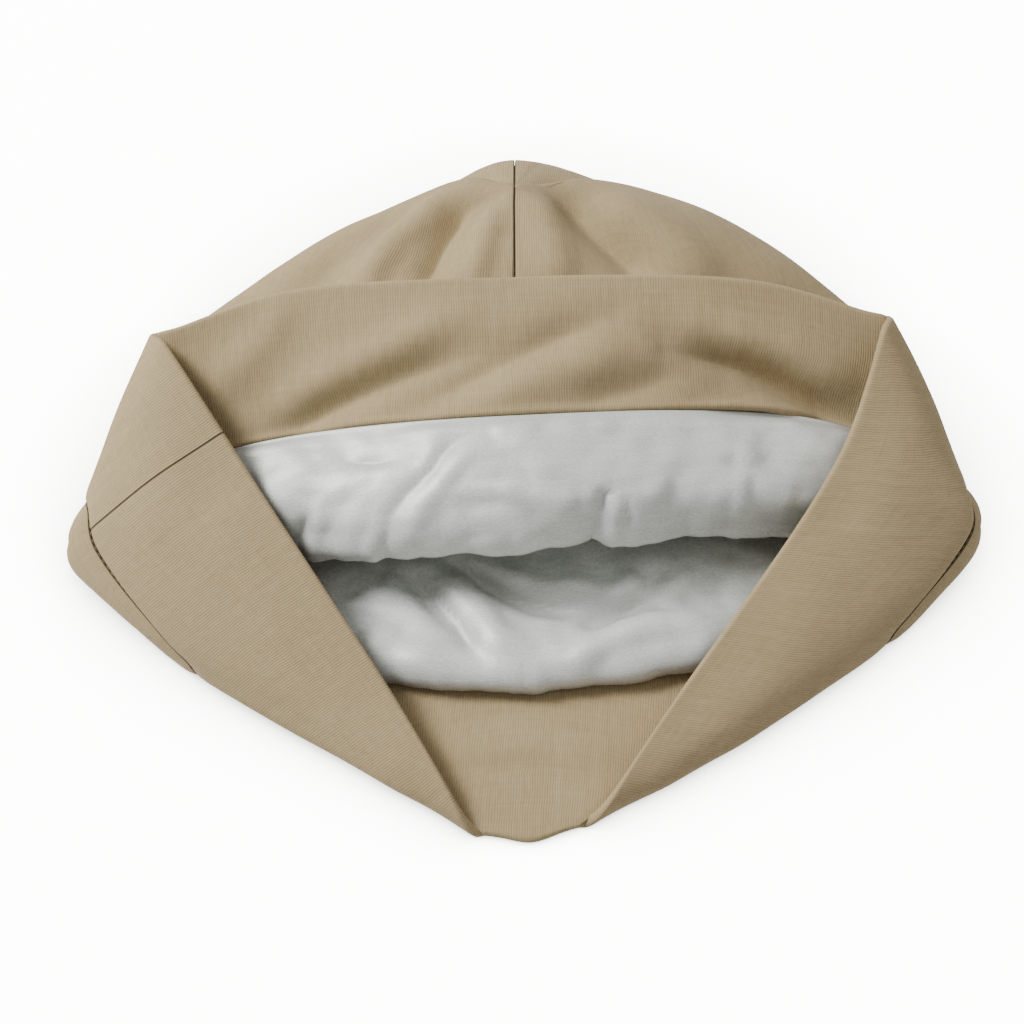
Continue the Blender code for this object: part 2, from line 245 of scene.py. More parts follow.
CROWN_ROUNDS = (
    CrownRound(0.320, 0.00, 0.455, 0.740, Place(-0.487, 0.410), Place(0.509, 0.432), 0.142, 1.00, 2.5, 4.0),
    CrownRound(0.375, 0.00, 0.400, 0.680, Place(-0.474, 0.455), Place(0.508, 0.478), 0.092, 0.90, 3.0, 5.5),
    CrownRound(0.440, 0.00, 0.372, 0.500, Place(-0.457, 0.510), Place(0.490, 0.530), 0.092, 0.80, 3.0, 4.5),
    CrownRound(0.520, 0.00, 0.395, 0.375, Place(-0.438, 0.560), Place(0.470, 0.590), 0.092, 0.65, 3.0, 3.2),
    CrownRound(0.610, 0.00, 0.455, 0.360, Place(-0.415, 0.630), Place(0.450, 0.650), 0.090, 0.50, 2.5, 2.2),
    CrownRound(0.740, 0.00, 0.560, 0.500, Place(-0.370, 0.740), Place(0.405, 0.755), 0.180, 0.20, 2.0, 1.6),
    CrownRound(0.870, 0.02, 0.690, 0.710, Place(-0.283, 0.820), Place(0.335, 0.830), 0.300, 0.00, 2.0, 1.4),
    CrownRound(0.958, 0.21, 0.797, 0.800, Place(-0.166, 0.900), Place(0.232, 0.906), 0.420, 0.00, 2.0, 1.3),
    CrownRound(0.980, 0.58, 0.863, 0.825, Place(-0.062, 0.938), Place(0.100, 0.940), 0.580, 0.00, 2.0, 1.2),
)
CROWN_TIP = Place(0.003, 0.900, 0.83)

# The stations of half a round, from the floor to the top: how the solids' faces lie
# between them, how many columns the fine cloth has there, and where they gather
SOLID_FACES = (3, 2, 2, 2, 2, 3, 2, 2, 2, 3, 5)
FINE_FACES = (26, 24, 6, 6, 10, 28, 18, 6, 6, 24, 52)
GATHERED = (0, 0.16, 0.285, 0.31, 0.335, 0.37, 0.45, 0.47, 0.485, 0.505, 0.70, 1)
HALF_STATIONS = len(SOLID_FACES)
FLOOR, TURN, LOW, HIGH, BACK, FOLD, TOP = 0, 3, 5, 6, 7, 8, 11

LINING_ROLL = (
    Roll(0.00, 0.00, 0.00),
    Roll(0.11, 0.020, 0.30),
    Roll(0.22, -0.03, 0.74),
    Roll(0.36, 0.09, 1.00),
    Roll(0.50, 0.30, 0.90),
    Roll(0.70, 0.60, 0.50),
    Roll(0.88, 0.84, 0.13),
    Roll(1.00, 1.00, 0.00),
)

# Creases in the turned-back lip's facing
LIP_CREASES = (
    Crease(((-0.276, 0.529), (-0.193, 0.575), (-0.098, 0.611), (-0.013, 0.650)), 4.4, -2.7, 0.4),
    Crease(((-0.287, 0.562), (-0.204, 0.605), (-0.120, 0.647), (-0.050, 0.690)), 5.0, 2.2),
    Crease(((-0.110, 0.560), (-0.030, 0.603), (0.045, 0.650), (0.110, 0.690)), 4.4, -2.7, 0.4),
    Crease(((-0.060, 0.555), (0.051, 0.603), (0.137, 0.650)), 5.0, 2.0),
    Crease(((0.060, 0.560), (0.130, 0.590), (0.190, 0.625)), 4.0, -1.8, 0.3),
    Crease(((0.165, 0.650), (0.250, 0.632), (0.330, 0.595), (0.395, 0.550)), 4.2, -4.6, 0.5),
    Crease(((0.200, 0.680), (0.300, 0.655), (0.385, 0.610)), 4.6, 2.8),
    Crease(((0.190, 0.562), (0.270, 0.580), (0.345, 0.560)), 4.0, 2.0, 0.4),
    Crease(((-0.330, 0.600), (-0.270, 0.660), (-0.230, 0.720)), 5.0, 1.2),
)
# Soft waves in the flaps and the floor's facing
FLAP_CREASES = (
    Crease(((-0.307, 0.524), (-0.334, 0.387), (-0.287, 0.269)), 9.0, -0.8),
    Crease(((-0.226, 0.382), (-0.180, 0.290), (-0.137, 0.193)), 6.0, 0.5),
    Crease(((0.330, 0.470), (0.360, 0.380), (0.330, 0.290)), 9.0, -0.8),
    Crease(((0.240, 0.360), (0.190, 0.260), (0.150, 0.180)), 6.0, 0.5),
)
FLOOR_CREASES = (
    Crease(((-0.086, 0.133), (0.019, 0.138), (0.135, 0.127)), 4.5, 0.9, 0.4),
)
# How far back the satin's edge over the lower lip lies, in millimetres, by share across
PILLOW_EDGE = (
    (-0.50, 0.0), (-0.35, 1.5), (-0.25, 2.6), (-0.13, 2.6), (-0.07, 2.6), (0.01, 2.7), (0.05, 5.4),
    (0.083, 9.0), (0.105, 6.5), (0.12, 5.6), (0.15, 6.4), (0.185, 8.6), (0.235, 7.6), (0.28, 6.6),
    (0.40, 2.5), (0.50, 0.0),
)
# Creases in the crown, fanned out from the top of its seam
CROWN_CREASES = (
    Crease(((-0.033, 0.895), (-0.058, 0.870), (-0.078, 0.820), (-0.104, 0.735)), 4.6, -4.8, 0.3),
    Crease(((-0.042, 0.910), (-0.078, 0.885), (-0.124, 0.838), (-0.176, 0.745)), 4.4, 4.4),
    Crease(((-0.090, 0.900), (-0.125, 0.882), (-0.175, 0.845), (-0.235, 0.760)), 5.2, -2.4, 0.3),
    Crease(((-0.134, 0.890), (-0.208, 0.840), (-0.285, 0.760)), 6.0, 1.6),
    Crease(((-0.012, 0.875), (-0.030, 0.827), (-0.046, 0.740)), 3.8, 2.0),
    Crease(((-0.045, 0.890), (-0.024, 0.880), (-0.004, 0.884)), 2.8, -0.9),
    Crease(((0.018, 0.895), (0.037, 0.841), (0.058, 0.740)), 5.2, 2.4),
    Crease(((0.034, 0.915), (0.061, 0.885), (0.096, 0.838), (0.168, 0.750)), 6.2, -5.6, 0.2),
    Crease(((0.078, 0.905), (0.144, 0.862), (0.240, 0.755)), 6.6, 3.6),
    Crease(((0.140, 0.900), (0.225, 0.845), (0.330, 0.755)), 9.0, 1.6),
)
# Creases in the satin on the floor and in the satin of the lip
LOWER_SATIN_CREASES = (
    Crease(
        ((-0.122, 0.410), (-0.089, 0.353), (-0.059, 0.305), (-0.042, 0.273), (-0.011, 0.239)),
        3.0,
        -3.8,
        -0.3,
    ),
    Crease(((-0.086, 0.404), (-0.046, 0.344), (-0.018, 0.280), (0.020, 0.243)), 5.2, 3.6, -0.4),
    Crease(((-0.078, 0.414), (-0.030, 0.375), (0.010, 0.346), (0.051, 0.327), (0.084, 0.330)), 3.2, -3.2),
    Crease(((-0.035, 0.398), (0.001, 0.374), (0.039, 0.363), (0.096, 0.363)), 3.6, 2.8, 0.3),
    Crease(((0.035, 0.231), (0.081, 0.264), (0.119, 0.286), (0.182, 0.304), (0.223, 0.313)), 4.0, 2.8, 0.5),
    Crease(((0.060, 0.282), (0.110, 0.318), (0.180, 0.338)), 4.0, -2.8),
    Crease(((0.130, 0.398), (0.116, 0.331)), 3.6, 2.4),
    Crease(((0.193, 0.408), (0.170, 0.350), (0.120, 0.300)), 3.4, 1.8),
    Crease(((-0.187, 0.388), (-0.164, 0.350)), 3.0, -1.0),
    Crease(((-0.160, 0.300), (-0.110, 0.255), (-0.060, 0.245)), 5.0, 1.2),
)
UPPER_SATIN_CREASES = (
    Crease(((-0.172, 0.492), (-0.146, 0.484), (-0.121, 0.483)), 1.8, -1.0),
    Crease(((-0.165, 0.476), (-0.120, 0.470)), 2.6, 0.7),
    Crease(
        (
            (-0.025, 0.516),
            (-0.050, 0.510),
            (-0.071, 0.490),
            (-0.082, 0.466),
            (-0.124, 0.423),
            (-0.145, 0.378),
        ),
        2.0,
        -0.9,
    ),
    Crease(((-0.034, 0.500), (-0.058, 0.470), (-0.095, 0.420), (-0.120, 0.380)), 2.4, 1.1),
    Crease(((-0.078, 0.505), (-0.096, 0.460)), 1.8, 0.6),
    Crease(((-0.201, 0.440), (-0.215, 0.390)), 2.0, 1.2, 0.4),
    Crease(((-0.213, 0.440), (-0.228, 0.400)), 2.0, -0.8),
    Crease(((-0.132, 0.421), (-0.153, 0.375)), 2.0, 0.9),
    Crease(((-0.048, 0.441), (0.008, 0.438), (0.051, 0.424), (0.089, 0.408)), 2.4, 1.3, -0.3),
    Crease(((-0.066, 0.417), (-0.013, 0.420), (0.051, 0.402)), 2.8, -1.1),
    Crease(((0.099, 0.447), (0.093, 0.425)), 2.0, -1.6),
    Crease(((0.078, 0.450), (0.086, 0.400)), 1.8, 0.8),
    Crease(((0.116, 0.450), (0.105, 0.395)), 1.8, 0.8),
    Crease(((0.118, 0.446), (0.121, 0.398)), 1.6, -0.9),
    Crease(((0.190, 0.465), (0.151, 0.420), (0.135, 0.390)), 2.8, -1.0),
    Crease(((0.165, 0.470), (0.135, 0.435)), 2.4, 0.8),
    Crease(((0.022, 0.520), (0.038, 0.528)), 1.5, -0.6),
    Crease(((0.250, 0.539), (0.240, 0.470), (0.235, 0.403)), 2.4, 0.9),
    Crease(((0.238, 0.530), (0.226, 0.410)), 2.4, -0.6),
    Crease(((0.200, 0.525), (0.262, 0.480)), 2.2, -0.6),
    Crease(((0.094, 0.543), (0.070, 0.480), (0.051, 0.450)), 4.5, -0.6),
)


def eased(value: np.ndarray, start: float, end: float) -> np.ndarray:
    """A smooth step, from 0 at the start to 1 at the end."""
    share = np.clip((value - start) / (end - start), 0, 1)
    return share * share * (3 - 2 * share)


def spline_at(points: np.ndarray, at: np.ndarray, closed: bool) -> np.ndarray:
    """Points on centripetal Catmull-Rom lines.

    Args:
        points: The lines' points, by place along the line, line and axis.
        at: Where to cut the lines, counted in points.
        closed: Whether each line runs back to its start.

    Returns:
        The cut points, by place, line and axis.
    """
    count = len(points)
    if closed:
        index = np.floor(at).astype(int)
        a, b, c, d = (points[(index + k) % count] for k in (-1, 0, 1, 2))
    else:
        index = np.minimum(np.floor(at).astype(int), count - 2)
        before_first = 2 * points[:1] - points[1:2]
        after_last = 2 * points[-1:] - points[-2:-1]
        padded = np.concatenate([before_first, points, after_last])
        a, b, c, d = (padded[index + k] for k in range(4))
    t = (at - index)[:, None, None]
    before, here, after = (
        np.maximum(np.sqrt(np.linalg.norm(q - p, axis=-1, keepdims=True)), 1e-6)
        for p, q in ((a, b), (b, c), (c, d))
    )
    leave = (c - b) + here * ((b - a) / before - (c - a) / (before + here))
    arrive = (c - b) + here * ((d - c) / after - (d - b) / (here + after))
    cubic = 2 * (b - c) + leave + arrive
    square = 3 * (c - b) - 2 * leave - arrive
    return cubic * t**3 + square * t**2 + leave * t + b


def lengths_along(lines: np.ndarray) -> np.ndarray:
    """The length up to each point of lines given by place, line and axis."""
    steps = np.linalg.norm(np.diff(lines, axis=0), axis=-1)
    return np.concatenate([np.zeros((1, steps.shape[1])), np.cumsum(steps, axis=0)])


def cut_lines(lines: np.ndarray, lengths: np.ndarray) -> np.ndarray:
    """Points at given lengths along lines.

    Args:
        lines: The lines, by place, line and axis.
        lengths: The lengths to cut at, by row and line.

    Returns:
        The points, by row, line and axis.
    """
    along = lengths_along(lines)
    cut = np.empty(lengths.shape + (3,))
    for column in range(lines.shape[1]):
        for axis in range(3):
            cut[:, column, axis] = np.interp(
                lengths[:, column], along[:, column], lines[:, column, axis]
            )
    return cut


@dataclass(frozen=True)
class LaidSize:
    """The sizes of the laid bonnet and its cloth, in metres."""

    width: float = 0.250
    depth: float = 0.197
    height: float = 0.048
    jersey: float = 0.0012
    satin: float = 0.0010
    gap: float = 0.0003
    fold_reach: float = 0.006
    fold_rise: float = 0.0028
    side_rise: float = 0.0016
    roll_length: float = 0.030
    roll_rise: float = 0.0066
    centre: tuple[float, float] = (-0.003281, 0.000294)

    @property
    def outer(self) -> float:
        """How far the jersey's outer face stands off the cloth's middle."""
        return self.gap / 2 + self.jersey

    @property
    def inner(self) -> float:
        """How far the satin's inner face stands off the cloth's middle."""
        return self.gap / 2 + self.satin

    @property
    def raised(self) -> float:
        """The height above which the cloth's middle no longer rests on the table."""
        return 2.2 * self.outer


@dataclass
class Drape:
    """The middle of the laid cloth, as fine columns from the hem to the crown's tip."""

    size: LaidSize = field(default_factory=LaidSize)
    column_samples: int = 24
    ring_samples: int = 96
    corner_eases: int = 30
    corner: Fade = Fade(0.40, 0.46)
    crease_end: float = 0.25
    crease_fade: float = 0.3

    def __post_init__(self) -> None:
        """Lays the columns out and drapes them."""
        half = [np.linspace(i, i + 1, n, endpoint=False) for i, n in enumerate(FINE_FACES)]
        left = np.concatenate(half)
        right = 2 * HALF_STATIONS - np.append(left, HALF_STATIONS)[:0:-1]
        self.stations = np.concatenate([left, right])
        self.half_stations = np.minimum(self.stations, 2 * HALF_STATIONS - self.stations)
        rings = [self.mouth_ring(row) for row in MOUTH_ROUNDS]
        rings += [self.crown_ring(row) for row in CROWN_ROUNDS]
        tip = np.broadcast_to(self.point(CROWN_TIP), rings[0].shape)
        points = np.stack(rings + [tip])
        steps = (len(points) - 1) * self.column_samples
        self.lines = spline_at(points, np.arange(steps + 1) / self.column_samples, False)
        self.along = lengths_along(self.lines)
        self.seams = self.along[(len(MOUTH_ROUNDS) - 2) * self.column_samples]

    def point(self, place: Place) -> np.ndarray:
        """A place as a point in metres, with the cloth no lower than the table lets it."""
        return np.array(
            [
                place.across * self.size.width,
                (place.along - 0.5) * self.size.depth,
                max(place.up * self.size.height, self.size.outer),
            ]
        )

    def beside(self, tip: np.ndarray, towards: np.ndarray, rise: float) -> np.ndarray:
        """The point next to a fold's tip, on the cloth that leads towards a point.

        Args:
            tip: The fold's tip.
            towards: The point that the cloth leads to.
            rise: How much higher than the tip it lies.

        Returns:
            The point.
        """
        way = (towards - tip) * (1, 1, 0)
        reach = min(self.size.fold_reach, np.linalg.norm(way) / 3)
        return tip + way / np.linalg.norm(way) * reach + (0, 0, rise)

    def mouth_half(
        self,
        row: MouthRound,
        floor: np.ndarray,
        turn: np.ndarray,
        low: np.ndarray,
        high: np.ndarray,
        fold: np.ndarray,
        side: np.ndarray,
        lip: np.ndarray,
    ) -> list[np.ndarray]:
        """The stations of half a round of the mouth, from the floor to the lip.

        Args:
            row: The round's puff and tuck.
            floor: The middle of the floor.
            turn: Where the floor turns up into the flap.
            low: The flap's lower point.
            high: The flap's upper point.
            fold: Where the flap folds into the lip.
            side: The lip's point between the fold and its middle.
            lip: The middle of the lip.

        Returns:
            The points, in order.
        """
        puff = row.puff * self.size.fold_rise
        tuck = row.tuck * self.size.fold_rise
        middle = (floor + turn * (1, 1, 0) + (0, 0, floor[2])) / 2
        under = self.beside(turn, middle, 0)
        under[2] = floor[2]
        lead_in = [floor, middle, under, turn, self.beside(turn, low, puff), low, high]
        lead_out = [self.beside(fold, high, puff), fold, self.beside(fold, side, -tuck), side, lip]
        return lead_in + lead_out

    def mouth_ring(self, row: MouthRound) -> np.ndarray:
        """One round of the mouth, by column and axis.

        Args:
            row: The round's places, puff and tuck.

        Returns:
            The points.
        """
        at = MouthRound(row.puff, row.tuck, *(self.point(place) for place in row[2:]))
        left = self.mouth_half(
            row, at.floor, at.left_turn, at.left_low, at.left_high, at.left_fold, at.left_lip, at.lip
        )
        right = self.mouth_half(
            row, at.floor, at.right_turn, at.right_low, at.right_high, at.right_fold, at.right_lip, at.lip
        )
        stations = np.array(left + right[-2:0:-1])
        return spline_at(stations[:, None], self.stations, True)[:, 0]

    def crown_half(self, row: CrownRound, side: Place) -> np.ndarray:
        """Half a round of the crown as a fine line, from the floor round a side to the top.

        Args:
            row: The round's heights and bends.
            side: Where the round reaches furthest out.

        Returns:
            The points of the line.
        """
        edge = self.point(side._replace(up=row.side_up))
        floor = self.point(Place(CROWN_TIP.across, row.floor_along, row.floor_up))
        top = self.point(Place(CROWN_TIP.across, row.top_along, row.top_up))
        angle = np.linspace(0, math.pi, 2 * self.ring_samples + 1)
        share, turned = np.sin(angle), np.cos(angle)
        below = angle < math.pi / 2
        across = floor[0] + (edge[0] - floor[0]) * share
        along = np.where(
            below,
            floor[1] + (edge[1] - floor[1]) * share**2,
            top[1] + (edge[1] - top[1]) * np.maximum(share, 0) ** row.bow,
        )
        rise = self.size.side_rise * eased(-turned, 0, 0.25)
        up = np.where(
            below,
            floor[2] + (edge[2] - floor[2]) * (1 - turned) ** 3,
            edge[2] + rise + (top[2] - edge[2] - rise) * np.abs(turned) ** row.hang,
        )
        return np.stack([across, along, up], axis=-1)

    def crown_ring(self, row: CrownRound) -> np.ndarray:
        """One round of the crown, by column and axis.

        Args:
            row: The round's heights, bends and sides.

        Returns:
            The points.
        """
        even = np.concatenate([[0], np.cumsum(SOLID_FACES)]) / sum(SOLID_FACES)
        stations = np.array(GATHERED) * row.gathered + even * (1 - row.gathered)
        shares = np.interp(self.half_stations, np.arange(HALF_STATIONS + 1), stations)
        halves = []
        for side in (row.left, row.right):
            line = self.crown_half(row, side)[:, None]
            halves.append(cut_lines(line, (shares * lengths_along(line)[-1])[:, None])[:, 0])
        on_left = (self.stations <= HALF_STATIONS)[:, None]
        return np.where(on_left, halves[0], halves[1])

    def weight(self, first: float, last: float, fade: float) -> np.ndarray:
        """1 between two stations of each half, and fading out past them, by column.

        Args:
            first: The first station.
            last: The last station.
            fade: How many stations it takes to fade out.

        Returns:
            The weight of each column.
        """
        at = self.half_stations
        rising = np.ones(len(at)) if first == FLOOR else eased(at, first - fade, first)
        falling = np.ones(len(at)) if last == TOP else eased(at, last + fade, last)
        return rising * falling

    def soften_corners(self, grid: np.ndarray) -> np.ndarray:
        """The grid with the cloth in the two side corners drawn into softer folds.

        Args:
            grid: The points, by row, column and axis.

        Returns:
            The same grid, softened.
        """
        start, end = (share * self.size.width for share in self.corner)
        for _ in range(self.corner_eases):
            inside = grid[2:-1]
            beside = (np.roll(grid, 1, axis=1) + np.roll(grid, -1, axis=1))[2:-1]
            mean = (grid[1:-2] + grid[3:] + beside) / 4
            share = eased(np.abs(inside[..., :1]), start, end) / 2
            grid[2:-1] = inside + share * (mean - inside)
        return grid

    def above_table(self, grid: np.ndarray) -> np.ndarray:
        """The grid with nothing lower than the table lets it be."""
        grid[..., 2] = np.maximum(grid[..., 2], self.size.outer)
        return grid

    def creased(
        self, grid: np.ndarray, creases: Sequence[Crease], weight: np.ndarray
    ) -> np.ndarray:
        """How far creases lift a grid of points, in metres.

        Args:
            grid: The points, by row, column and axis.
            creases: The creases that cross them.
            weight: How much of the creases shows, by row and column.

        Returns:
            The lift of each point.
        """
        lift = np.zeros(grid.shape[:2])
        shown = weight > 0
        spots = grid[shown][:, :2]
        for crease in creases:
            run = np.array([self.point(Place(a, b))[:2] for a, b in crease.run])
            steps = np.linalg.norm(np.diff(run, axis=0), axis=1)
            before = np.concatenate([[0], np.cumsum(steps)])
            nearest = np.full(len(spots), np.inf)
            side = np.zeros(len(spots))
            share = np.zeros(len(spots))
            for i, step in enumerate(steps):
                way = (run[i + 1] - run[i]) / step
                off = spots - run[i]
                along = np.clip(off @ way, 0, step)
                gap = off - along[:, None] * way
                distance = np.linalg.norm(gap, axis=1)
                closer = distance < nearest
                nearest = np.where(closer, distance, nearest)
                cross = way[0] * off[:, 1] - way[1] * off[:, 0]
                side = np.where(closer, np.sign(cross), side)
                share = np.where(closer, (before[i] + along) / before[-1], share)
            width = crease.width * 1e-3 * (1 + 0.5 * crease.slant * side)
            ends = eased(share, 0, self.crease_fade) * eased(share, 1, 1 - self.crease_fade)
            ends = self.crease_end + (1 - self.crease_end) * ends
            lift[shown] += crease.lift * 1e-3 * ends * np.exp(-((nearest / width) ** 2))
        return lift * weight

    def normals(self, grid: np.ndarray) -> np.ndarray:
        """The outward normal at each point of a grid that closes round its columns.

        Args:
            grid: The points, by row, column and axis.

        Returns:
            The normals, by row, column and axis.
        """
        across = np.roll(grid, -1, axis=1) - np.roll(grid, 1, axis=1)
        along = np.gradient(grid, axis=0)
        normal = np.cross(across, along)
        size = np.linalg.norm(normal, axis=-1, keepdims=True)
        normal = normal / np.maximum(size, 1e-12)
        normal[-1] = np.where(size[-1] < 1e-10, normal[-2], normal[-1])
        return normal

    def placed(self, grid: np.ndarray) -> np.ndarray:
        """The grid moved so that the origin is under the middle of the bonnet."""
        return grid + (*self.size.centre, 0)


class Shading:
    """A material's nodes, with short calls for what the finishes share."""

    def __init__(self, name: str) -> None:
        """Makes an empty Principled material of this name.

        Args:
            name: The material's name.
        """
        self.material = bpy.data.materials.new(name)
        self.material.use_nodes = True
        self.tree = self.material.node_tree
        self.shader = self.tree.nodes["Principled BSDF"]

    def socket(self, target: bpy.types.NodeSocket, value: object) -> None:
        """Links a socket to another, or sets its value.

        Args:
            target: The input to feed.
            value: A socket to link, or a value.
        """
        if isinstance(value, bpy.types.NodeSocket):
            self.tree.links.new(value, target)
        else:
            target.default_value = value

    def math(self, operation: str, *values: object) -> bpy.types.NodeSocket:
        """The result of a Math node.

        Args:
            operation: The node's operation.
            values: Its values, each a number or a socket.

        Returns:
            The result.
        """
        node = self.tree.nodes.new("ShaderNodeMath")
        node.operation = operation
        for target, value in zip(node.inputs, values):
            self.socket(target, value)
        return node.outputs[0]

    def cloth_map(self) -> tuple[bpy.types.NodeSocket, bpy.types.NodeSocket]:
        """The place on the cloth in metres, across and along its wales.

        Returns:
            The place across and the place along.
        """
        source = self.tree.nodes.new("ShaderNodeUVMap")
        source.uv_map = "cloth"
        split = self.tree.nodes.new("ShaderNodeSeparateXYZ")
        self.tree.links.new(source.outputs[0], split.inputs[0])
        return split.outputs[0], split.outputs[1]

    def joined(self, x: object, y: object, z: object = 0.0) -> bpy.types.NodeSocket:
        """A vector from three values.

        Args:
            x: A number or a socket.
            y: A number or a socket.
            z: A number or a socket.

        Returns:
            The vector.
        """
        node = self.tree.nodes.new("ShaderNodeCombineXYZ")
        for target, value in zip(node.inputs, (x, y, z)):
            self.socket(target, value)
        return node.outputs[0]

    def stretched(self, u: object, per_u: float, v: object, per_v: float) -> bpy.types.NodeSocket:
        """The place on the cloth, scaled differently across and along it."""
        return self.joined(self.math("MULTIPLY", u, per_u), self.math("MULTIPLY", v, per_v))

    def weighed(self, *terms: tuple[object, float]) -> bpy.types.NodeSocket:
        """The sum of values that are each multiplied by a weight.

        Args:
            terms: The values and their weights.

        Returns:
            The sum.
        """
        first, *others = (self.math("MULTIPLY", value, weight) for value, weight in terms)
        for term in others:
            first = self.math("ADD", first, term)
        return first

    def noise(
        self, place: bpy.types.NodeSocket, scale: float, detail: float = 2.0, rough: float = 0.5
    ) -> bpy.types.NodeSocket:
        """The factor of a Noise texture at a place.

        Args:
            place: The place.
            scale: How many waves there are in a unit of the place.
            detail: How many finer noises are laid over it.
            rough: How strong the finer ones are.

        Returns:
            The factor, from 0 to 1.
        """
        node = self.tree.nodes.new("ShaderNodeTexNoise")
        self.tree.links.new(place, node.inputs["Vector"])
        node.inputs["Scale"].default_value = scale
        node.inputs["Detail"].default_value = detail
        node.inputs["Roughness"].default_value = rough
        return node.outputs["Fac"]

    def grain(self, u: object, v: object, grain: Grain) -> tuple[bpy.types.NodeSocket, float]:
        """The factor of a grain at a place on the cloth, with its weight."""
        place = self.stretched(u, grain.across, v, grain.along)
        return self.noise(place, 1.0, grain.detail), grain.weight

    def openness(self, reach: float, power: float, samples: int = 6) -> bpy.types.NodeSocket:
        """How open the surface is to its surroundings within a reach, from 0 to 1.

        Args:
            reach: How far other cloth counts, in metres.
            power: How strongly closed-in places fall below 1.
            samples: How many ways each point looks.

        Returns:
            The openness.
        """
        nearby = self.tree.nodes.new("ShaderNodeAmbientOcclusion")
        nearby.samples = samples
        nearby.inputs["Distance"].default_value = reach
        return self.math("POWER", nearby.outputs["AO"], power)

    def object_place(self) -> bpy.types.NodeSocket:
        """The place on the object."""
        return self.tree.nodes.new("ShaderNodeTexCoord").outputs["Object"]

    def ranged(self, value: object, low: float, high: float) -> bpy.types.NodeSocket:
        """A value from 0 to 1 spread from low to high.

        Args:
            value: The value.
            low: What 0 becomes.
            high: What 1 becomes.

        Returns:
            The spread value.
        """
        node = self.tree.nodes.new("ShaderNodeMapRange")
        self.socket(node.inputs["Value"], value)
        node.inputs["To Min"].default_value = low
        node.inputs["To Max"].default_value = high
        return node.outputs["Result"]

    def mixed(self, share: object, first: object, second: object) -> bpy.types.NodeSocket:
        """Two colours mixed by a share of the second.

        Args:
            share: The share of the second.
            first: A colour or a socket.
            second: A colour or a socket.

        Returns:
            The mixed colour.
        """
        node = self.tree.nodes.new("ShaderNodeMix")
        node.data_type = "RGBA"
        self.socket(node.inputs[0], share)
        self.socket(node.inputs[6], first)
        self.socket(node.inputs[7], second)
        return node.outputs[2]

    def bumped(
        self, height: bpy.types.NodeSocket, distance: float, strength: float = 1.0
    ) -> bpy.types.NodeSocket:
        """The normal that a height in shares of a distance gives.

        Args:
            height: The height.
            distance: The distance in metres that a height of 1 stands for.
            strength: How much of the bump shows.

        Returns:
            The normal.
        """
        node = self.tree.nodes.new("ShaderNodeBump")
        node.inputs["Strength"].default_value = strength
        node.inputs["Distance"].default_value = distance
        self.tree.links.new(height, node.inputs["Height"])
        return node.outputs["Normal"]

    def set(self, **values: object) -> None:
        """Sets the shader's sockets, with underscores for the spaces in their names."""
        for name, value in values.items():
            self.socket(self.shader.inputs[name.replace("_", " ")], value)


@dataclass(frozen=True)
class JerseyFinish:
    """A fine beige knit: stitches in wales, a heathered yarn, a soft nap and painted shade in its grooves.

    Where the cloth's map is zero, a seam draws the knit in along a narrow groove, whose colour is darkened
    as painted shade.
    """

    name: str = "jersey"
    light: tuple[float, float, float] = (0.496, 0.384, 0.214)
    deep: tuple[float, float, float] = (0.312, 0.231, 0.118)
    wale: float = 0.00068
    course: float = 0.00054
    relief: float = 0.00011
    seam: float = 0.00038
    seam_depth: float = 0.00035
    roughness: float = 0.92
    drift: float = 160.0
    wander: float = 1.4
    grains: tuple[Grain, ...] = (
        Grain(900.0, 260.0, 3.0, 0.26),
        Grain(520.0, 24.0, 2.0, 0.17),
        Grain(40.0, 1300.0, 2.0, 0.20),
    )
    cloud: float = 26.0
    fuzz: float = 2600.0

    def material(self) -> bpy.types.Material:
        """Builds the finish.

        Returns:
            The material.
        """
        shade = Shading(self.name)
        u, v = shade.cloth_map()
        drift = shade.noise(shade.object_place(), self.drift)
        wander = shade.math("MULTIPLY", drift, self.wander)
        wales = shade.math("ADD", shade.math("DIVIDE", u, self.wale), wander)
        courses = shade.math("ADD", shade.math("DIVIDE", v, self.course), wander)
        ridge = shade.math("PINGPONG", wales, 0.5)
        rib = shade.math("SMOOTH_MIN", shade.math("MULTIPLY", ridge, 3.0), 1.0, 0.6)
        legs = shade.math("ADD", courses, shade.math("MULTIPLY", ridge, 1.3))
        stitch = shade.math("MULTIPLY", shade.math("PINGPONG", legs, 0.5), 2.0)
        knit = shade.weighed((rib, 0.72), (stitch, 0.28))
        grains = [shade.grain(u, v, grain) for grain in self.grains]
        cloud = shade.noise(shade.object_place(), self.cloud, 3.0)
        # The knit's relief also tints the colour, darker in the grooves between the ribs: painted shade
        tone = shade.weighed(*grains, (cloud, 0.22), (knit, 0.28))
        heather = shade.mixed(shade.ranged(tone, -0.85, 1.50), (*self.deep, 1), (*self.light, 1))
        nearest = shade.math("MINIMUM", shade.math("ABSOLUTE", u), shade.math("ABSOLUTE", v))
        inside = shade.math("SUBTRACT", 1.0, shade.math("DIVIDE", nearest, self.seam))
        groove = shade.math("MAXIMUM", inside, 0.0)
        # Painted shade: the seam's groove is darkened towards a much deeper tone
        groove_shade = tuple(0.27 * c for c in self.deep)
        colour = shade.mixed(shade.math("MULTIPLY", groove, 1.3), heather, (*groove_shade, 1))
        fuzz = shade.noise(shade.object_place(), self.fuzz)
        depth = self.seam_depth / self.relief
        height = shade.weighed((knit, 0.8), (fuzz, 0.35), (groove, -depth))
        shade.set(
            Base_Color=colour,
            Roughness=self.roughness,
            Specular_IOR_Level=0.25,
            Sheen_Weight=0.16,
            Sheen_Roughness=0.45,
            Sheen_Tint=(1.0, 0.93, 0.80, 1),
            Normal=shade.bumped(height, self.relief),
        )
        return shade.material


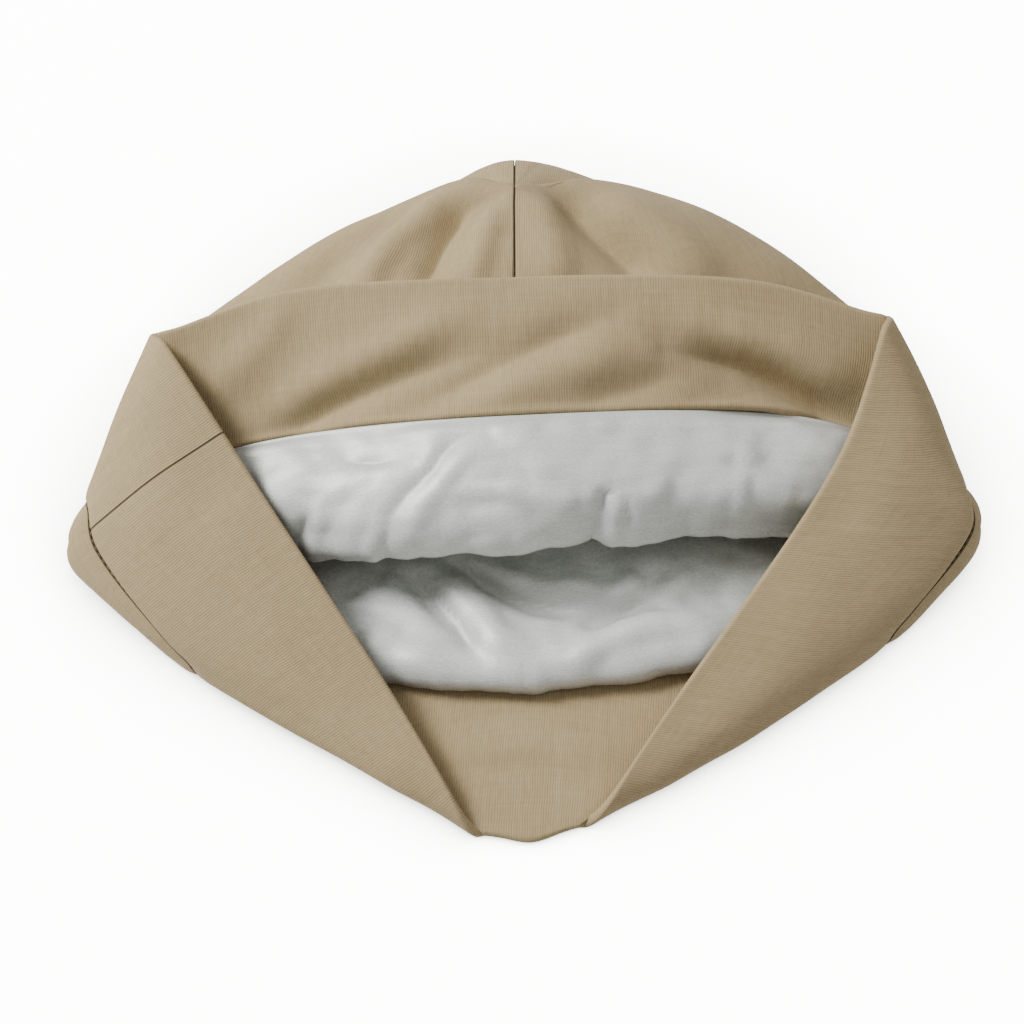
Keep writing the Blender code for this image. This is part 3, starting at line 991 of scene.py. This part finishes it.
@dataclass(frozen=True)
class SatinFinish:
    """A silver-grey satin: a fine floating weave, a soft gloss and painted shade in its folds."""

    name: str = "satin"
    light: tuple[float, float, float] = (0.965, 0.985, 0.940)
    deep: tuple[float, float, float] = (0.560, 0.575, 0.530)
    # Painted shade: the colour that closed-in creases and hollows darken towards, and the reach within
    # which nearby cloth darkens them
    fold: tuple[float, float, float] = (0.300, 0.308, 0.280)
    fold_reach: float = 0.012
    thread: float = 0.00040
    relief: float = 0.00013
    roughness: float = 0.44
    slub: Grain = Grain(60.0, 700.0, 2.0, 0.14)
    cloud: float = 60.0

    def material(self) -> bpy.types.Material:
        """Builds the finish.

        Returns:
            The material.
        """
        shade = Shading(self.name)
        u, v = shade.cloth_map()
        across = shade.math("DIVIDE", u, self.thread)
        along = shade.math("DIVIDE", v, self.thread)
        floats = shade.noise(shade.joined(shade.math("MULTIPLY", across, 0.35), along), 1.0)
        grain = shade.noise(shade.joined(across, along), 1.1, 3.0, 0.6)
        slub = shade.grain(u, v, self.slub)
        cloud = shade.noise(shade.object_place(), self.cloud)
        tone = shade.weighed((floats, 0.34), (grain, 0.40), slub, (cloud, 0.12))
        height = shade.weighed((floats, 0.5), (grain, 0.6))
        # Painted shade: the share of the satin's own colour that stays, falling where nearby cloth closes
        # it in
        unshaded = shade.openness(self.fold_reach, 1.6)
        weave = shade.mixed(shade.ranged(tone, -0.95, 1.95), (*self.deep, 1), (*self.light, 1))
        shade.set(
            Base_Color=shade.mixed(unshaded, (*self.fold, 1), weave),
            Roughness=shade.ranged(grain, self.roughness - 0.06, self.roughness + 0.08),
            Metallic=0.14,
            Specular_IOR_Level=0.5,
            Sheen_Weight=0.10,
            Sheen_Roughness=0.4,
            Normal=shade.bumped(height, self.relief),
        )
        return shade.material


@dataclass(frozen=True)
class ThreadFinish:
    """Sewing thread, a little darker than the knit or the satin that it is sewn in."""

    name: str = "seam_thread"
    colour: tuple[float, float, float] = (0.30, 0.24, 0.155)
    twist: float = 0.0006

    def material(self) -> bpy.types.Material:
        """Builds the finish.

        Returns:
            The material.
        """
        shade = Shading(self.name)
        plies = shade.noise(shade.object_place(), 1 / self.twist)
        darker = tuple(0.75 * c for c in self.colour)
        shade.set(
            Base_Color=shade.mixed(plies, (*darker, 1), (*self.colour, 1)),
            Roughness=0.7,
            Normal=shade.bumped(plies, 0.00005),
        )
        return shade.material


@dataclass(frozen=True)
class TableFinish:
    """The plain white table, lit through from below as far as the camera sees, with a painted shadow that
    darkens its glow near the bonnet.
    """

    name: str = "table"
    colour: tuple[float, float, float] = (0.92, 0.92, 0.905)
    glow: float = 13.0
    shadow_reach: float = 0.045

    def material(self) -> bpy.types.Material:
        """Builds the finish.

        Returns:
            The material.
        """
        shade = Shading(self.name)
        seen = shade.tree.nodes.new("ShaderNodeLightPath").outputs["Is Camera Ray"]
        # Painted shadow: the glow is darkened where nearby cloth closes the table in
        lit = shade.math("MULTIPLY", seen, shade.openness(self.shadow_reach, 2.2))
        shade.set(
            Base_Color=(*self.colour, 1),
            Roughness=0.85,
            Specular_IOR_Level=0.2,
            Emission_Color=(1.0, 1.0, 0.97, 1),
            Emission_Strength=shade.math("MULTIPLY", lit, self.glow),
        )
        return shade.material


@dataclass
class ClothWall:
    """A cloth wall as a closed mesh: two faces of a sheet that meet in rounded rims.

    The grids go by row, from the mouth inwards, and by column, round from the floor.
    """

    name: str
    middle: np.ndarray
    normals: np.ndarray
    low: float
    high: float
    rim: np.ndarray
    closed: bool
    pole: bool
    panels: tuple[Panel, ...]
    start: float = 1.0
    roundness: float = 1.0

    def fullness(self) -> np.ndarray:
        """How much of the wall's thickness stands at each point, by row and column.

        Returns:
            The shares of the thickness.
        """
        radius = (self.high - self.low) / 2 * self.roundness
        near = np.clip(1 - self.rim / radius, 0, 1)
        return np.sqrt(np.maximum(1 - near**2, 0))

    def cloth_places(self, grid: np.ndarray) -> tuple[np.ndarray, np.ndarray]:
        """The lengths along each row and column of a grid, for the cloth's map.

        Args:
            grid: The points, by row, column and axis.

        Returns:
            The lengths across and the lengths along, by row and column.
        """
        ring = np.concatenate([grid, grid[:, :1]], axis=1) if self.closed else grid
        across = lengths_along(ring.transpose(1, 0, 2)).T
        along = lengths_along(ring)
        return across, along + self.start

    def build(self, material: bpy.types.Material) -> bpy.types.Object:
        """Builds the wall.

        Args:
            material: The finish of the cloth.

        Returns:
            The wall's object, at the origin.
        """
        half = (self.high - self.low) / 2 * self.fullness()[..., None]
        centre = self.middle + self.normals * (self.low + self.high) / 2
        faces_of = {face: centre + self.normals * half * face.value for face in Face}
        rows, columns = centre.shape[:2]
        spans = columns if self.closed else columns - 1
        across, along = self.cloth_places(centre)
        names = np.arange(2 * rows * columns).reshape(2, rows, columns)
        shared = self.rim <= 0
        names[1][shared] = names[0][shared]
        if self.pole:
            names[:, -1, :] = names[:, -1, :1]
        quads, places = [], []
        for layer, face in enumerate(Face):
            for column in range(spans):
                after = (column + 1) % columns
                panel = next(p for p in self.panels if p.first <= column < p.last)
                origin = across[:, panel.origin] - panel.offset
                u0, u1 = across[:, column] - origin, across[:, column + 1] - origin
                v0, v1 = along[:, column], along[:, column + 1]
                a, b = names[layer][:, column], names[layer][:, after]
                corners = np.stack([a[:-1], b[:-1], b[1:], a[1:]], axis=-1)
                us = np.stack([u0[:-1], u1[:-1], u1[1:], u0[1:]], axis=1)
                vs = np.stack([v0[:-1], v1[:-1], v1[1:], v0[1:]], axis=1)
                spots = np.stack([us, vs], axis=-1)
                if face is Face.INNER:
                    corners, spots = corners[:, ::-1], spots[:, ::-1]
                quads.append(corners)
                places.append(spots)
        corners = np.concatenate(quads)
        spots = np.concatenate(places)
        points = np.concatenate([grid.reshape(-1, 3) for grid in faces_of.values()])
        return mesh_object(self.name, points, corners, spots, material)


def mesh_object(
    name: str,
    points: np.ndarray,
    corners: np.ndarray,
    spots: np.ndarray,
    material: bpy.types.Material,
) -> bpy.types.Object:
    """A smooth mesh object with a map of its cloth.

    Args:
        name: The object's name.
        points: The vertices.
        corners: Four vertex numbers for each face, where one may repeat.
        spots: The cloth's map at those four corners.
        material: The finish.

    Returns:
        The object, linked to the scene.
    """
    used, corners = np.unique(corners, return_inverse=True)
    corners = corners.reshape(-1, 4)
    faces, uvs = [], []
    for face, spot in zip(corners.tolist(), spots.tolist()):
        kept = [i for i in range(4) if face[i] != face[i - 1]]
        if len({face[i] for i in kept}) >= 3:
            faces.append([face[i] for i in kept])
            uvs.extend(spot[i] for i in kept)
    mesh = bpy.data.meshes.new(name)
    mesh.from_pydata(points[used].tolist(), [], faces)
    layer = mesh.uv_layers.new(name="cloth")
    layer.data.foreach_set("uv", np.array(uvs).ravel())
    mesh.materials.append(material)
    mesh.shade_smooth()
    thing = bpy.data.objects.new(name, mesh)
    bpy.context.scene.collection.objects.link(thing)
    return thing


def settle(piece: bpy.types.Object, node: str) -> bpy.types.Object:
    """Puts a finished piece on its body, in place of its solid.

    Args:
        piece: The finished piece.
        node: The solid that it replaces.

    Returns:
        The piece.
    """
    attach(piece, BODY)
    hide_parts(node)
    return piece


def rumpled(grid: np.ndarray, rumple: Rumple) -> np.ndarray:
    """How far a rumple lifts a grid of points, in metres, by row and column.

    Args:
        grid: The points, by row, column and axis.
        rumple: The unevenness.

    Returns:
        The lift of each point.
    """
    shift = Vector((rumple.seed, -rumple.seed, 2 * rumple.seed))
    spots = grid.reshape(-1, 3).tolist()
    waves = [noise.noise(Vector(p) * rumple.waves + shift) for p in spots]
    return np.array(waves).reshape(grid.shape[:2]) * rumple.height


def rows_between(
    lengths: np.ndarray, last: float, count: int, rims: tuple[float, ...]
) -> np.ndarray:
    """Row lengths that are even between two ends and close up at the rims.

    Args:
        lengths: The whole length of each column.
        last: How far before the column's end the cloth stops.
        count: How many rows lie between the rims.
        rims: The distances of the close rows from each end.

    Returns:
        The lengths, by row and column.
    """
    ends = lengths - last
    start = np.zeros(len(lengths))
    inner_start, inner_end = start + rims[-1], ends - rims[-1]
    rows = [start + rim for rim in rims]
    rows += [inner_start + (inner_end - inner_start) * k / (count + 1) for k in range(1, count + 1)]
    rows += [ends - rim for rim in reversed(rims)]
    return np.array(rows)


@dataclass
class Band:
    """The wide band round the mouth: a doubled strip of jersey with a rolled hem."""

    drape: Drape
    finish: bpy.types.Material
    rows: int = 34
    rims: tuple[float, ...] = (0.0, 0.00012, 0.0004, 0.0008, 0.0013, 0.0020)
    seam_gap: float = 0.00003
    seam_dip: float = 0.0006
    dip_width: float = 0.0016
    seam_station: float = 6.32
    front_eases: int = 22
    before_turn: Fade = Fade(TURN - 2.4, TURN - 1.0)
    past_turn: Fade = Fade(TURN + 2.2, TURN + 0.8)
    hem: Fade = Fade(0.024, 0.004)
    rumple: Rumple = Rumple(55.0, 0.0004, 1.7)

    def build(self) -> bpy.types.Object:
        """Builds the band, which replaces its solid.

        Returns:
            The band.
        """
        drape, size = self.drape, self.drape.size
        lengths = rows_between(drape.seams, self.seam_gap, self.rows, self.rims)
        grid = self.rolled_up(cut_lines(drape.lines, lengths), lengths)
        normals = drape.normals(grid)
        lift = drape.creased(grid, LIP_CREASES, self.spread(FOLD + 1, TOP, 2.0, grid))
        lift += drape.creased(grid, FLAP_CREASES, self.spread(LOW, HIGH, 1.0, grid)) * -1
        lift += drape.creased(grid, FLOOR_CREASES, self.spread(FLOOR, 1, 1.0, grid))
        lift += rumpled(grid, self.rumple)
        from_seam = lengths[-1] - lengths
        upper = grid[..., 2] > size.raised
        lift += np.where(upper, self.seam_dip * np.exp(-((from_seam / self.dip_width) ** 2)), 0)
        grid = grid - normals * lift[..., None]
        grid = drape.above_table(grid)
        normals = drape.normals(grid)
        rim = np.minimum(lengths - lengths[0], from_seam)
        wall = ClothWall(
            name="band_cloth",
            middle=drape.placed(grid),
            normals=normals,
            low=-size.inner,
            high=size.outer,
            rim=rim,
            closed=True,
            pole=False,
            panels=round_panels(self.side_seam()),
        )
        return settle(wall.build(self.finish), "band")

    def rolled_up(self, grid: np.ndarray, lengths: np.ndarray) -> np.ndarray:
        """The grid with the hem rolled up smoothly at its two front turns.

        Args:
            grid: The points, by row, column and axis.
            lengths: How far each point lies from the hem.

        Returns:
            The smoothed grid.
        """
        at = self.drape.half_stations
        near = eased(at, *self.before_turn) * eased(at, *self.past_turn)
        share = (near[None] * eased(lengths, *self.hem))[..., None]
        for _ in range(self.front_eases):
            mean = (np.roll(grid, 1, axis=1) + np.roll(grid, -1, axis=1)) / 2
            grid = grid + share * (mean - grid)
        return grid

    def side_seam(self) -> int:
        """The column of the seam that closes the band's strip, in the left flap."""
        return int(np.argmin(np.abs(self.drape.stations - self.seam_station)))

    def spread(self, first: float, last: float, fade: float, grid: np.ndarray) -> np.ndarray:
        """The weight of the columns between two stations, for every row."""
        return np.broadcast_to(self.drape.weight(first, last, fade), grid.shape[:2])


def round_panels(seam: int | None = None) -> tuple[Panel, ...]:
    """The panels of a whole round.

    Args:
        seam: The column of the left flap that a seam runs down, if there is one.

    Returns:
        The panels of the floor, the left flap, the lip, the right flap and the floor.
    """
    at = np.concatenate([[0], np.cumsum(FINE_FACES)]).tolist()
    whole = 2 * at[-1]
    turn, fold, top = at[TURN], at[FOLD], at[TOP]
    flap = (turn + fold) // 2
    return (
        Panel(0, turn, 0),
        Panel(turn, fold, flap if seam is None else seam, 1.0 if seam is None else 0.0),
        Panel(fold, whole - fold, top),
        Panel(whole - fold, whole - turn, whole - flap),
        Panel(whole - turn, whole, whole),
    )


@dataclass
class CrownCloth:
    """The crown's cloth as one grid, which its two halves and the lining are cut from."""

    drape: Drape
    shares: np.ndarray = field(default_factory=lambda: CrownCloth.row_shares())
    seam_gap: float = 0.00003
    edge_reach: float = 0.010
    front_share: float = 0.42
    behind_lip: Fade = Fade(0.42, 0.58)
    at_tip: Fade = Fade(1.0, 0.96)

    @staticmethod
    def row_shares() -> np.ndarray:
        """The rows, as shares of each column from the seam to the tip.

        Returns:
            The shares.
        """
        rims = [0, 0.0005, 0.0015, 0.003, 0.005, 0.0075]
        front = list(np.linspace(0.0105, 0.30, 58))
        back = list(np.linspace(0.31, 0.985, 53))
        return np.array(rims + front + back + [0.9925, 0.997, 1.0])

    def edged(self, cloth: np.ndarray) -> np.ndarray:
        """The cloth with the edge that hangs over the lower lip set back in waves.

        Args:
            cloth: The cloth, by row, column and axis.

        Returns:
            The same cloth, with its edge set back.
        """
        front = self.shares < self.front_share
        edge = cloth[front, :, 1].min(axis=0)
        table = np.array(PILLOW_EDGE)
        back = np.interp(cloth[..., 0] / self.drape.size.width, table[:, 0], table[:, 1]) * 1e-3
        near = np.exp(-(((cloth[..., 1] - edge) / self.edge_reach) ** 2)) * front[:, None]
        cloth[..., 1] += back * near * self.drape.weight(FOLD + 1.5, TOP, 1.5)
        return cloth

    def grid(self) -> np.ndarray:
        """The middle of the crown's cloth, by row, column and axis.

        Returns:
            The points.
        """
        drape = self.drape
        start = drape.seams + self.seam_gap
        lengths = start + self.shares[:, None] * (drape.along[-1] - start)
        cloth = self.edged(cut_lines(drape.lines, lengths))
        shown = drape.weight(BACK, TOP, BACK - TURN)[None] * eased(self.shares, *self.behind_lip)[:, None]
        shown = shown * eased(self.shares, *self.at_tip)[:, None]
        cloth = cloth + drape.normals(cloth) * drape.creased(cloth, CROWN_CREASES, shown)[..., None]
        return drape.above_table(drape.soften_corners(cloth))


@dataclass
class CrownHalf:
    """Half of the crown's jersey, on one side of the centre seam."""

    drape: Drape
    cloth: np.ndarray
    shares: np.ndarray
    side: Side
    finish: bpy.types.Material
    seam_gap: float = 0.00003
    dip: float = 0.0005
    dip_width: float = 0.0016
    roundness: float = 0.35
    rumple: Rumple = Rumple(45.0, 0.0006, 3.1)
    past_band: Fade = Fade(0.05, 0.2)
    below_tip: Fade = Fade(0.90, 0.74)

    def build(self) -> bpy.types.Object:
        """Builds the half, which replaces its solid.

        Returns:
            The half.
        """
        size = self.drape.size
        whole = self.cloth.shape[1]
        half = whole // 2
        columns = (np.arange(half + 1) + (0 if self.side is Side.LEFT else half)) % whole
        grid = self.cloth.copy()
        grid[..., 2] += rumpled(grid, self.rumple) * eased(self.shares, *self.past_band)[:, None]
        grid = self.drape.above_table(grid)
        normals = self.drape.normals(grid)[:, columns]
        part = grid[:, columns].copy()
        rows_in = lengths_along(part)
        columns_in = lengths_along(part.transpose(1, 0, 2)).T
        to_seam = np.minimum(columns_in, columns_in[:, -1:] - columns_in)
        pinch = -self.dip * np.exp(-((to_seam / self.dip_width) ** 2))
        pinch += -self.dip * np.exp(-((rows_in / self.dip_width) ** 2))
        pinch *= eased(self.shares, *self.below_tip)[:, None]
        upper = part[..., 2:] > size.raised
        part = part + normals * np.where(upper, pinch[..., None], 0)
        part[:, [0, -1], 0] += self.side.value * self.seam_gap
        part[-1] = part[-1, 0]
        rim = np.minimum(to_seam, rows_in)
        rim[-1] = 0
        edge = sum(FINE_FACES[:LOW])
        split = edge if self.side is Side.LEFT else half - edge
        panels = (Panel(0, split, 0, 0.0), Panel(split, half, half, 0.0))
        node = f"crown_{self.side.name.lower()}"
        wall = ClothWall(
            name=f"{node}_cloth",
            middle=self.drape.placed(part),
            normals=normals,
            low=size.gap / 2,
            high=size.outer,
            rim=rim,
            closed=False,
            pole=True,
            panels=panels,
            start=0.0,
            roundness=self.roundness,
        )
        return settle(wall.build(self.finish), node)


@dataclass
class Lining:
    """The satin lining, longer than the jersey, so that it rolls up behind the facing."""

    drape: Drape
    cloth: np.ndarray
    shares: np.ndarray
    finish: bpy.types.Material
    fullness: float = 0.0014
    deepest: float = 0.0009
    past_seam: Fade = Fade(0.006, 0.03)
    before_back: Fade = Fade(0.36, 0.27)
    rolled_columns: Fade = Fade(1.95, 0.5)
    roll_samples: int = 200
    rumples: tuple[Rumple, ...] = (
        Rumple(60.0, 0.0014, 5.3),
        Rumple(150.0, 0.00075, 8.1),
        Rumple(330.0, 0.00018, 2.4),
    )

    def rolled(self, grid: np.ndarray) -> np.ndarray:
        """The grid with its roll, which fades out under the flaps.

        Args:
            grid: The points, by row, column and axis.

        Returns:
            The rolled grid.
        """
        drape, size = self.drape, self.drape.size
        table = np.array(LINING_ROLL)[:, None]
        fine = spline_at(table, np.linspace(0, len(table) - 1, self.roll_samples), False)[:, 0]
        flat = np.maximum.accumulate(fine[:, 0])
        start = drape.seams
        lengths = self.shares[:, None] * (drape.along[-1] - start)
        shares = lengths / size.roll_length
        past = np.interp(shares, flat, fine[:, 1])
        up = np.interp(shares, flat, fine[:, 2])
        weight = eased(drape.half_stations, *self.rolled_columns)[None] * (shares < 1)
        moved = cut_lines(drape.lines, start + lengths + (past - shares) * size.roll_length * weight)
        grid = np.where(weight[..., None] > 0, moved, grid)
        grid[..., 2] += up * size.roll_rise * weight
        return grid

    def build(self) -> bpy.types.Object:
        """Builds the lining, which replaces its solid.

        Returns:
            The lining.
        """
        drape, size = self.drape, self.drape.size
        grid = drape.soften_corners(self.rolled(self.cloth.copy()))
        shares = self.shares[:, None]
        near = eased(shares, *self.past_seam) * eased(shares, *self.before_back)
        lower = near * drape.weight(FLOOR, 2, 1)
        upper = near * drape.weight(FOLD + 1, TOP, 1)
        lift = drape.creased(grid, LOWER_SATIN_CREASES, lower)
        lift += drape.creased(grid, UPPER_SATIN_CREASES, upper)
        for rumple in self.rumples:
            lift += rumpled(grid, rumple) * (lower + upper)
        lift += self.fullness * (lower + upper)
        normals = drape.normals(grid)
        grid = grid - normals * np.maximum(lift, -self.deepest)[..., None]
        grid = drape.above_table(grid)
        normals = drape.normals(grid)
        rim = lengths_along(grid)
        wall = ClothWall(
            name="lining_cloth",
            middle=drape.placed(grid),
            normals=normals,
            low=-size.inner,
            high=-size.gap / 2,
            rim=rim,
            closed=True,
            pole=True,
            panels=round_panels(),
        )
        return settle(wall.build(self.finish), "lining")


@dataclass
class Studio:
    """The pale table, the soft light and the camera above the mouth."""

    elevation: float = 64.0
    focal: float = 85.0
    distance: float = 0.652
    target: tuple[float, float, float] = (-0.003281, -0.008206, 0.015)
    table: float = 6.0
    sky: float = 0.34
    lit: tuple[float, float, float] = (0, 0, 0.02)
    lamps: tuple[Lamp, ...] = (
        Lamp("key", (-0.80, 0.32, 0.80), 0.40, 20.0),
        Lamp("fill", (0.7, 0.3, 0.9), 0.8, 2.5),
    )

    def floor(self, finish: bpy.types.Material) -> None:
        """Lays the table.

        Args:
            finish: The table's finish.
        """
        half = self.table / 2
        mesh = bpy.data.meshes.new("table_top")
        corners = [(-half, -half, 0), (half, -half, 0), (half, half, 0), (-half, half, 0)]
        mesh.from_pydata(corners, [], [(0, 1, 2, 3)])
        mesh.materials.append(finish)
        top = bpy.data.objects.new("table_top", mesh)
        bpy.context.scene.collection.objects.link(top)

    def camera(self) -> None:
        """Sets the camera at the photo's angle."""
        data = bpy.data.cameras.new("camera")
        data.lens = self.focal
        data.clip_start, data.clip_end = 0.01, 20
        camera = bpy.data.objects.new("camera", data)
        lean = math.radians(self.elevation)
        back = Vector((0, -math.cos(lean), math.sin(lean)))
        camera.location = Vector(self.target) + back * self.distance
        camera.rotation_euler = (-back).to_track_quat("-Z", "Y").to_euler()
        bpy.context.scene.collection.objects.link(camera)
        bpy.context.scene.camera = camera

    def light(self, lamp: Lamp) -> None:
        """Adds a light that looks at the lit point.

        Args:
            lamp: The light's name, place, side and power.
        """
        data = bpy.data.lights.new(lamp.name, "AREA")
        data.energy = lamp.power
        data.size = lamp.side
        thing = bpy.data.objects.new(lamp.name, data)
        thing.location = lamp.place
        aim = Vector(self.lit) - Vector(lamp.place)
        thing.rotation_euler = aim.to_track_quat("-Z", "Y").to_euler()
        bpy.context.scene.collection.objects.link(thing)

    def world(self) -> None:
        """Fills the studio with a pale even light."""
        world = bpy.data.worlds.new("studio")
        world.use_nodes = True
        sky = world.node_tree.nodes["Background"]
        sky.inputs["Color"].default_value = (1.0, 1.0, 0.99, 1)
        sky.inputs["Strength"].default_value = self.sky
        bpy.context.scene.world = world

    def build(self) -> None:
        """Sets up the table, the lights and the camera."""
        self.floor(TableFinish().material())
        self.camera()
        self.world()
        for lamp in self.lamps:
            self.light(lamp)


@dataclass(frozen=True)
class SeamPaths:
    """Where the stitches of the seams run, a little below the jersey's face."""

    drape: Drape
    centre_sunk: float = 0.0009
    centre_rows: tuple[float, float] = (0.45, 0.985)
    band_sunk: float = 0.0008
    band_ends: float = 0.2
    beside: float = 0.002

    def centre(self, cloth: np.ndarray, shares: np.ndarray) -> list[np.ndarray]:
        """The path of the crown's centre seam, from behind the lip up to the tip.

        Args:
            cloth: The middle of the crown's cloth, by row, column and axis.
            shares: The share of each row.

        Returns:
            The one path.
        """
        middle = cloth.shape[1] // 2
        first, last = self.centre_rows
        rows = (shares > first) & (shares < last)
        above = self.drape.size.outer - self.centre_sunk
        out = self.drape.normals(cloth)[rows, middle] * above
        return [self.drape.placed(cloth[rows, middle] + out)]

    def band(self) -> list[np.ndarray]:
        """The paths of the seam between the band and the crown, at the two side corners.

        Returns:
            The left path and the right path.
        """
        drape = self.drape
        lengths = drape.seams[None] + np.array([-self.beside, 0, self.beside])[:, None]
        cloth = cut_lines(drape.lines, lengths)
        outer = cloth[1] + drape.normals(cloth)[1] * (drape.size.outer - self.band_sunk)
        at = drape.half_stations
        shown = (at > TURN + self.band_ends) & (at < FOLD - self.band_ends)
        left = shown & (drape.stations < HALF_STATIONS)
        right = shown & (drape.stations > HALF_STATIONS)
        return [drape.placed(outer[side]) for side in (left, right)]


@dataclass(frozen=True)
class StitchSize:
    """The sizes of the sewn stitches, in metres."""

    pitch: float = 0.0021
    length: float = 0.0014
    radius: float = 0.00010
    slack: float = 0.12


class StitchNodes:
    """Geometry nodes that sew a stitch at even steps along each path of a mesh."""

    def __init__(self, name: str) -> None:
        """Makes the group with its named inputs.

        Args:
            name: The group's name.
        """
        self.tree = bpy.data.node_groups.new(name, "GeometryNodeTree")
        self.sockets = {
            label: self.tree.interface.new_socket(name=label, in_out="INPUT", socket_type=kind).identifier
            for label, kind in (
                ("Paths", "NodeSocketGeometry"),
                ("Pitch", "NodeSocketFloat"),
                ("Length", "NodeSocketFloat"),
                ("Thread Radius", "NodeSocketFloat"),
                ("Slack", "NodeSocketFloat"),
                ("Seed", "NodeSocketInt"),
                ("Thread", "NodeSocketMaterial"),
            )
        }
        self.tree.interface.new_socket(name="Stitches", in_out="OUTPUT", socket_type="NodeSocketGeometry")
        self.given = self.node("NodeGroupInput")
        self.link_up()

    def node(
        self, kind: str, inputs: dict[str | int, object] | None = None, **settings: object
    ) -> bpy.types.Node:
        """Adds a node.

        Args:
            kind: The node's type.
            inputs: A value or a socket to link for each of some inputs.
            settings: The node's own settings.

        Returns:
            The node.
        """
        node = self.tree.nodes.new(kind)
        for key, value in settings.items():
            setattr(node, key, value)
        for key, value in (inputs or {}).items():
            if isinstance(value, bpy.types.NodeSocket):
                self.tree.links.new(value, node.inputs[key])
            else:
                node.inputs[key].default_value = value
        return node

    def math(self, operation: str, first: object, second: object) -> bpy.types.NodeSocket:
        """The result of a Math node."""
        return self.node("ShaderNodeMath", {0: first, 1: second}, operation=operation).outputs[0]

    def link_up(self) -> None:
        """Builds the nodes between the inputs and the stitches."""
        given = self.given.outputs
        curve = self.node("GeometryNodeMeshToCurve", {"Mesh": given["Paths"]}).outputs["Curve"]
        steps = self.node(
            "GeometryNodeResampleCurve", {"Curve": curve, "Length": given["Pitch"]}, mode="LENGTH"
        )
        bead = self.node(
            "GeometryNodeMeshUVSphere", {"Segments": 8, "Rings": 6, "Radius": given["Thread Radius"]}
        )
        ratio = self.math("DIVIDE", given["Length"], given["Thread Radius"])
        half = self.math("MULTIPLY", ratio, 0.5)
        shape = self.node("ShaderNodeCombineXYZ", {0: 1.0, 1: 1.0, 2: half})
        stitch = self.node(
            "GeometryNodeTransform", {"Geometry": bead.outputs["Mesh"], "Scale": shape.outputs[0]}
        )
        tangent = self.node("GeometryNodeInputTangent").outputs[0]
        turn = self.node("FunctionNodeAlignRotationToVector", {"Vector": tangent}, axis="Z")
        least = self.math("SUBTRACT", 1.0, given["Slack"])
        loose = self.node(
            "FunctionNodeRandomValue", {2: least, 3: 1.0, "Seed": given["Seed"]}, data_type="FLOAT"
        )
        sewn = self.node(
            "GeometryNodeInstanceOnPoints",
            {
                "Points": steps.outputs["Curve"],
                "Instance": stitch.outputs["Geometry"],
                "Rotation": turn.outputs["Rotation"],
                "Scale": loose.outputs[1],
            },
        )
        real = self.node("GeometryNodeRealizeInstances", {"Geometry": sewn.outputs["Instances"]})
        finish = self.node(
            "GeometryNodeSetMaterial",
            {"Geometry": real.outputs["Geometry"], "Material": given["Thread"]},
        )
        self.node("NodeGroupOutput", {0: finish.outputs["Geometry"]})


@dataclass
class Stitches:
    """The rows of stitches along a seam, sunk into its groove."""

    name: str
    paths: Sequence[np.ndarray]
    finish: bpy.types.Material
    size: StitchSize = field(default_factory=StitchSize)
    seed: int = 7

    def path_mesh(self) -> bpy.types.Mesh:
        """The paths as loose edges.

        Returns:
            The mesh of the edges.
        """
        points, edges = [], []
        for path in self.paths:
            first = len(points)
            points.extend(path.tolist())
            edges.extend((first + i, first + i + 1) for i in range(len(path) - 1))
        mesh = bpy.data.meshes.new(f"{self.name}_paths")
        mesh.from_pydata(points, edges, [])
        return mesh

    def build(self, replaced: str, slot: str) -> bpy.types.Object:
        """Sews the stitches.

        Args:
            replaced: The solid that they belong to.
            slot: The material slot of its cloth; not used.

        Returns:
            The stitches as one plain mesh object.
        """
        thing = bpy.data.objects.new(self.name, self.path_mesh())
        bpy.context.scene.collection.objects.link(thing)
        nodes = StitchNodes(f"{self.name}_nodes")
        modifier = thing.modifiers.new("stitches", "NODES")
        modifier.node_group = nodes.tree
        values = {
            "Pitch": self.size.pitch,
            "Length": self.size.length,
            "Thread Radius": self.size.radius,
            "Slack": self.size.slack,
            "Seed": self.seed,
            "Thread": self.finish,
        }
        for label, value in values.items():
            modifier[nodes.sockets[label]] = value
        bpy.context.view_layer.update()
        shown = thing.evaluated_get(bpy.context.evaluated_depsgraph_get())
        mesh = bpy.data.meshes.new_from_object(shown)
        thing.modifiers.remove(modifier)
        thing.data = mesh
        mesh.shade_smooth()
        return settle(thing, replaced)


def main() -> None:
    """Builds the bonnet piece by piece and sets up the studio."""
    logging.basicConfig(level=logging.INFO, format="%(message)s")
    drape = Drape()
    jersey = JerseyFinish().material()
    satin = SatinFinish().material()
    thread = ThreadFinish().material()
    crown = CrownCloth(drape)
    cloth = crown.grid()
    pieces = [Band(drape, jersey).build()]
    for side in Side:
        pieces.append(CrownHalf(drape, cloth, crown.shares, side, jersey).build())
    pieces.append(Lining(drape, cloth, crown.shares, satin).build())
    seams = SeamPaths(drape)
    centre = Stitches("crown_seam_stitches", seams.centre(cloth, crown.shares), thread)
    corners = Stitches("band_seam_stitches", seams.band(), thread)
    pieces += [centre.build("crown_left", "jersey"), corners.build("band", "jersey")]
    for piece in pieces:
        log.info("%s: %d faces", piece.name, len(piece.data.polygons))
    Studio().build()


if __name__ == "__main__":
    main()
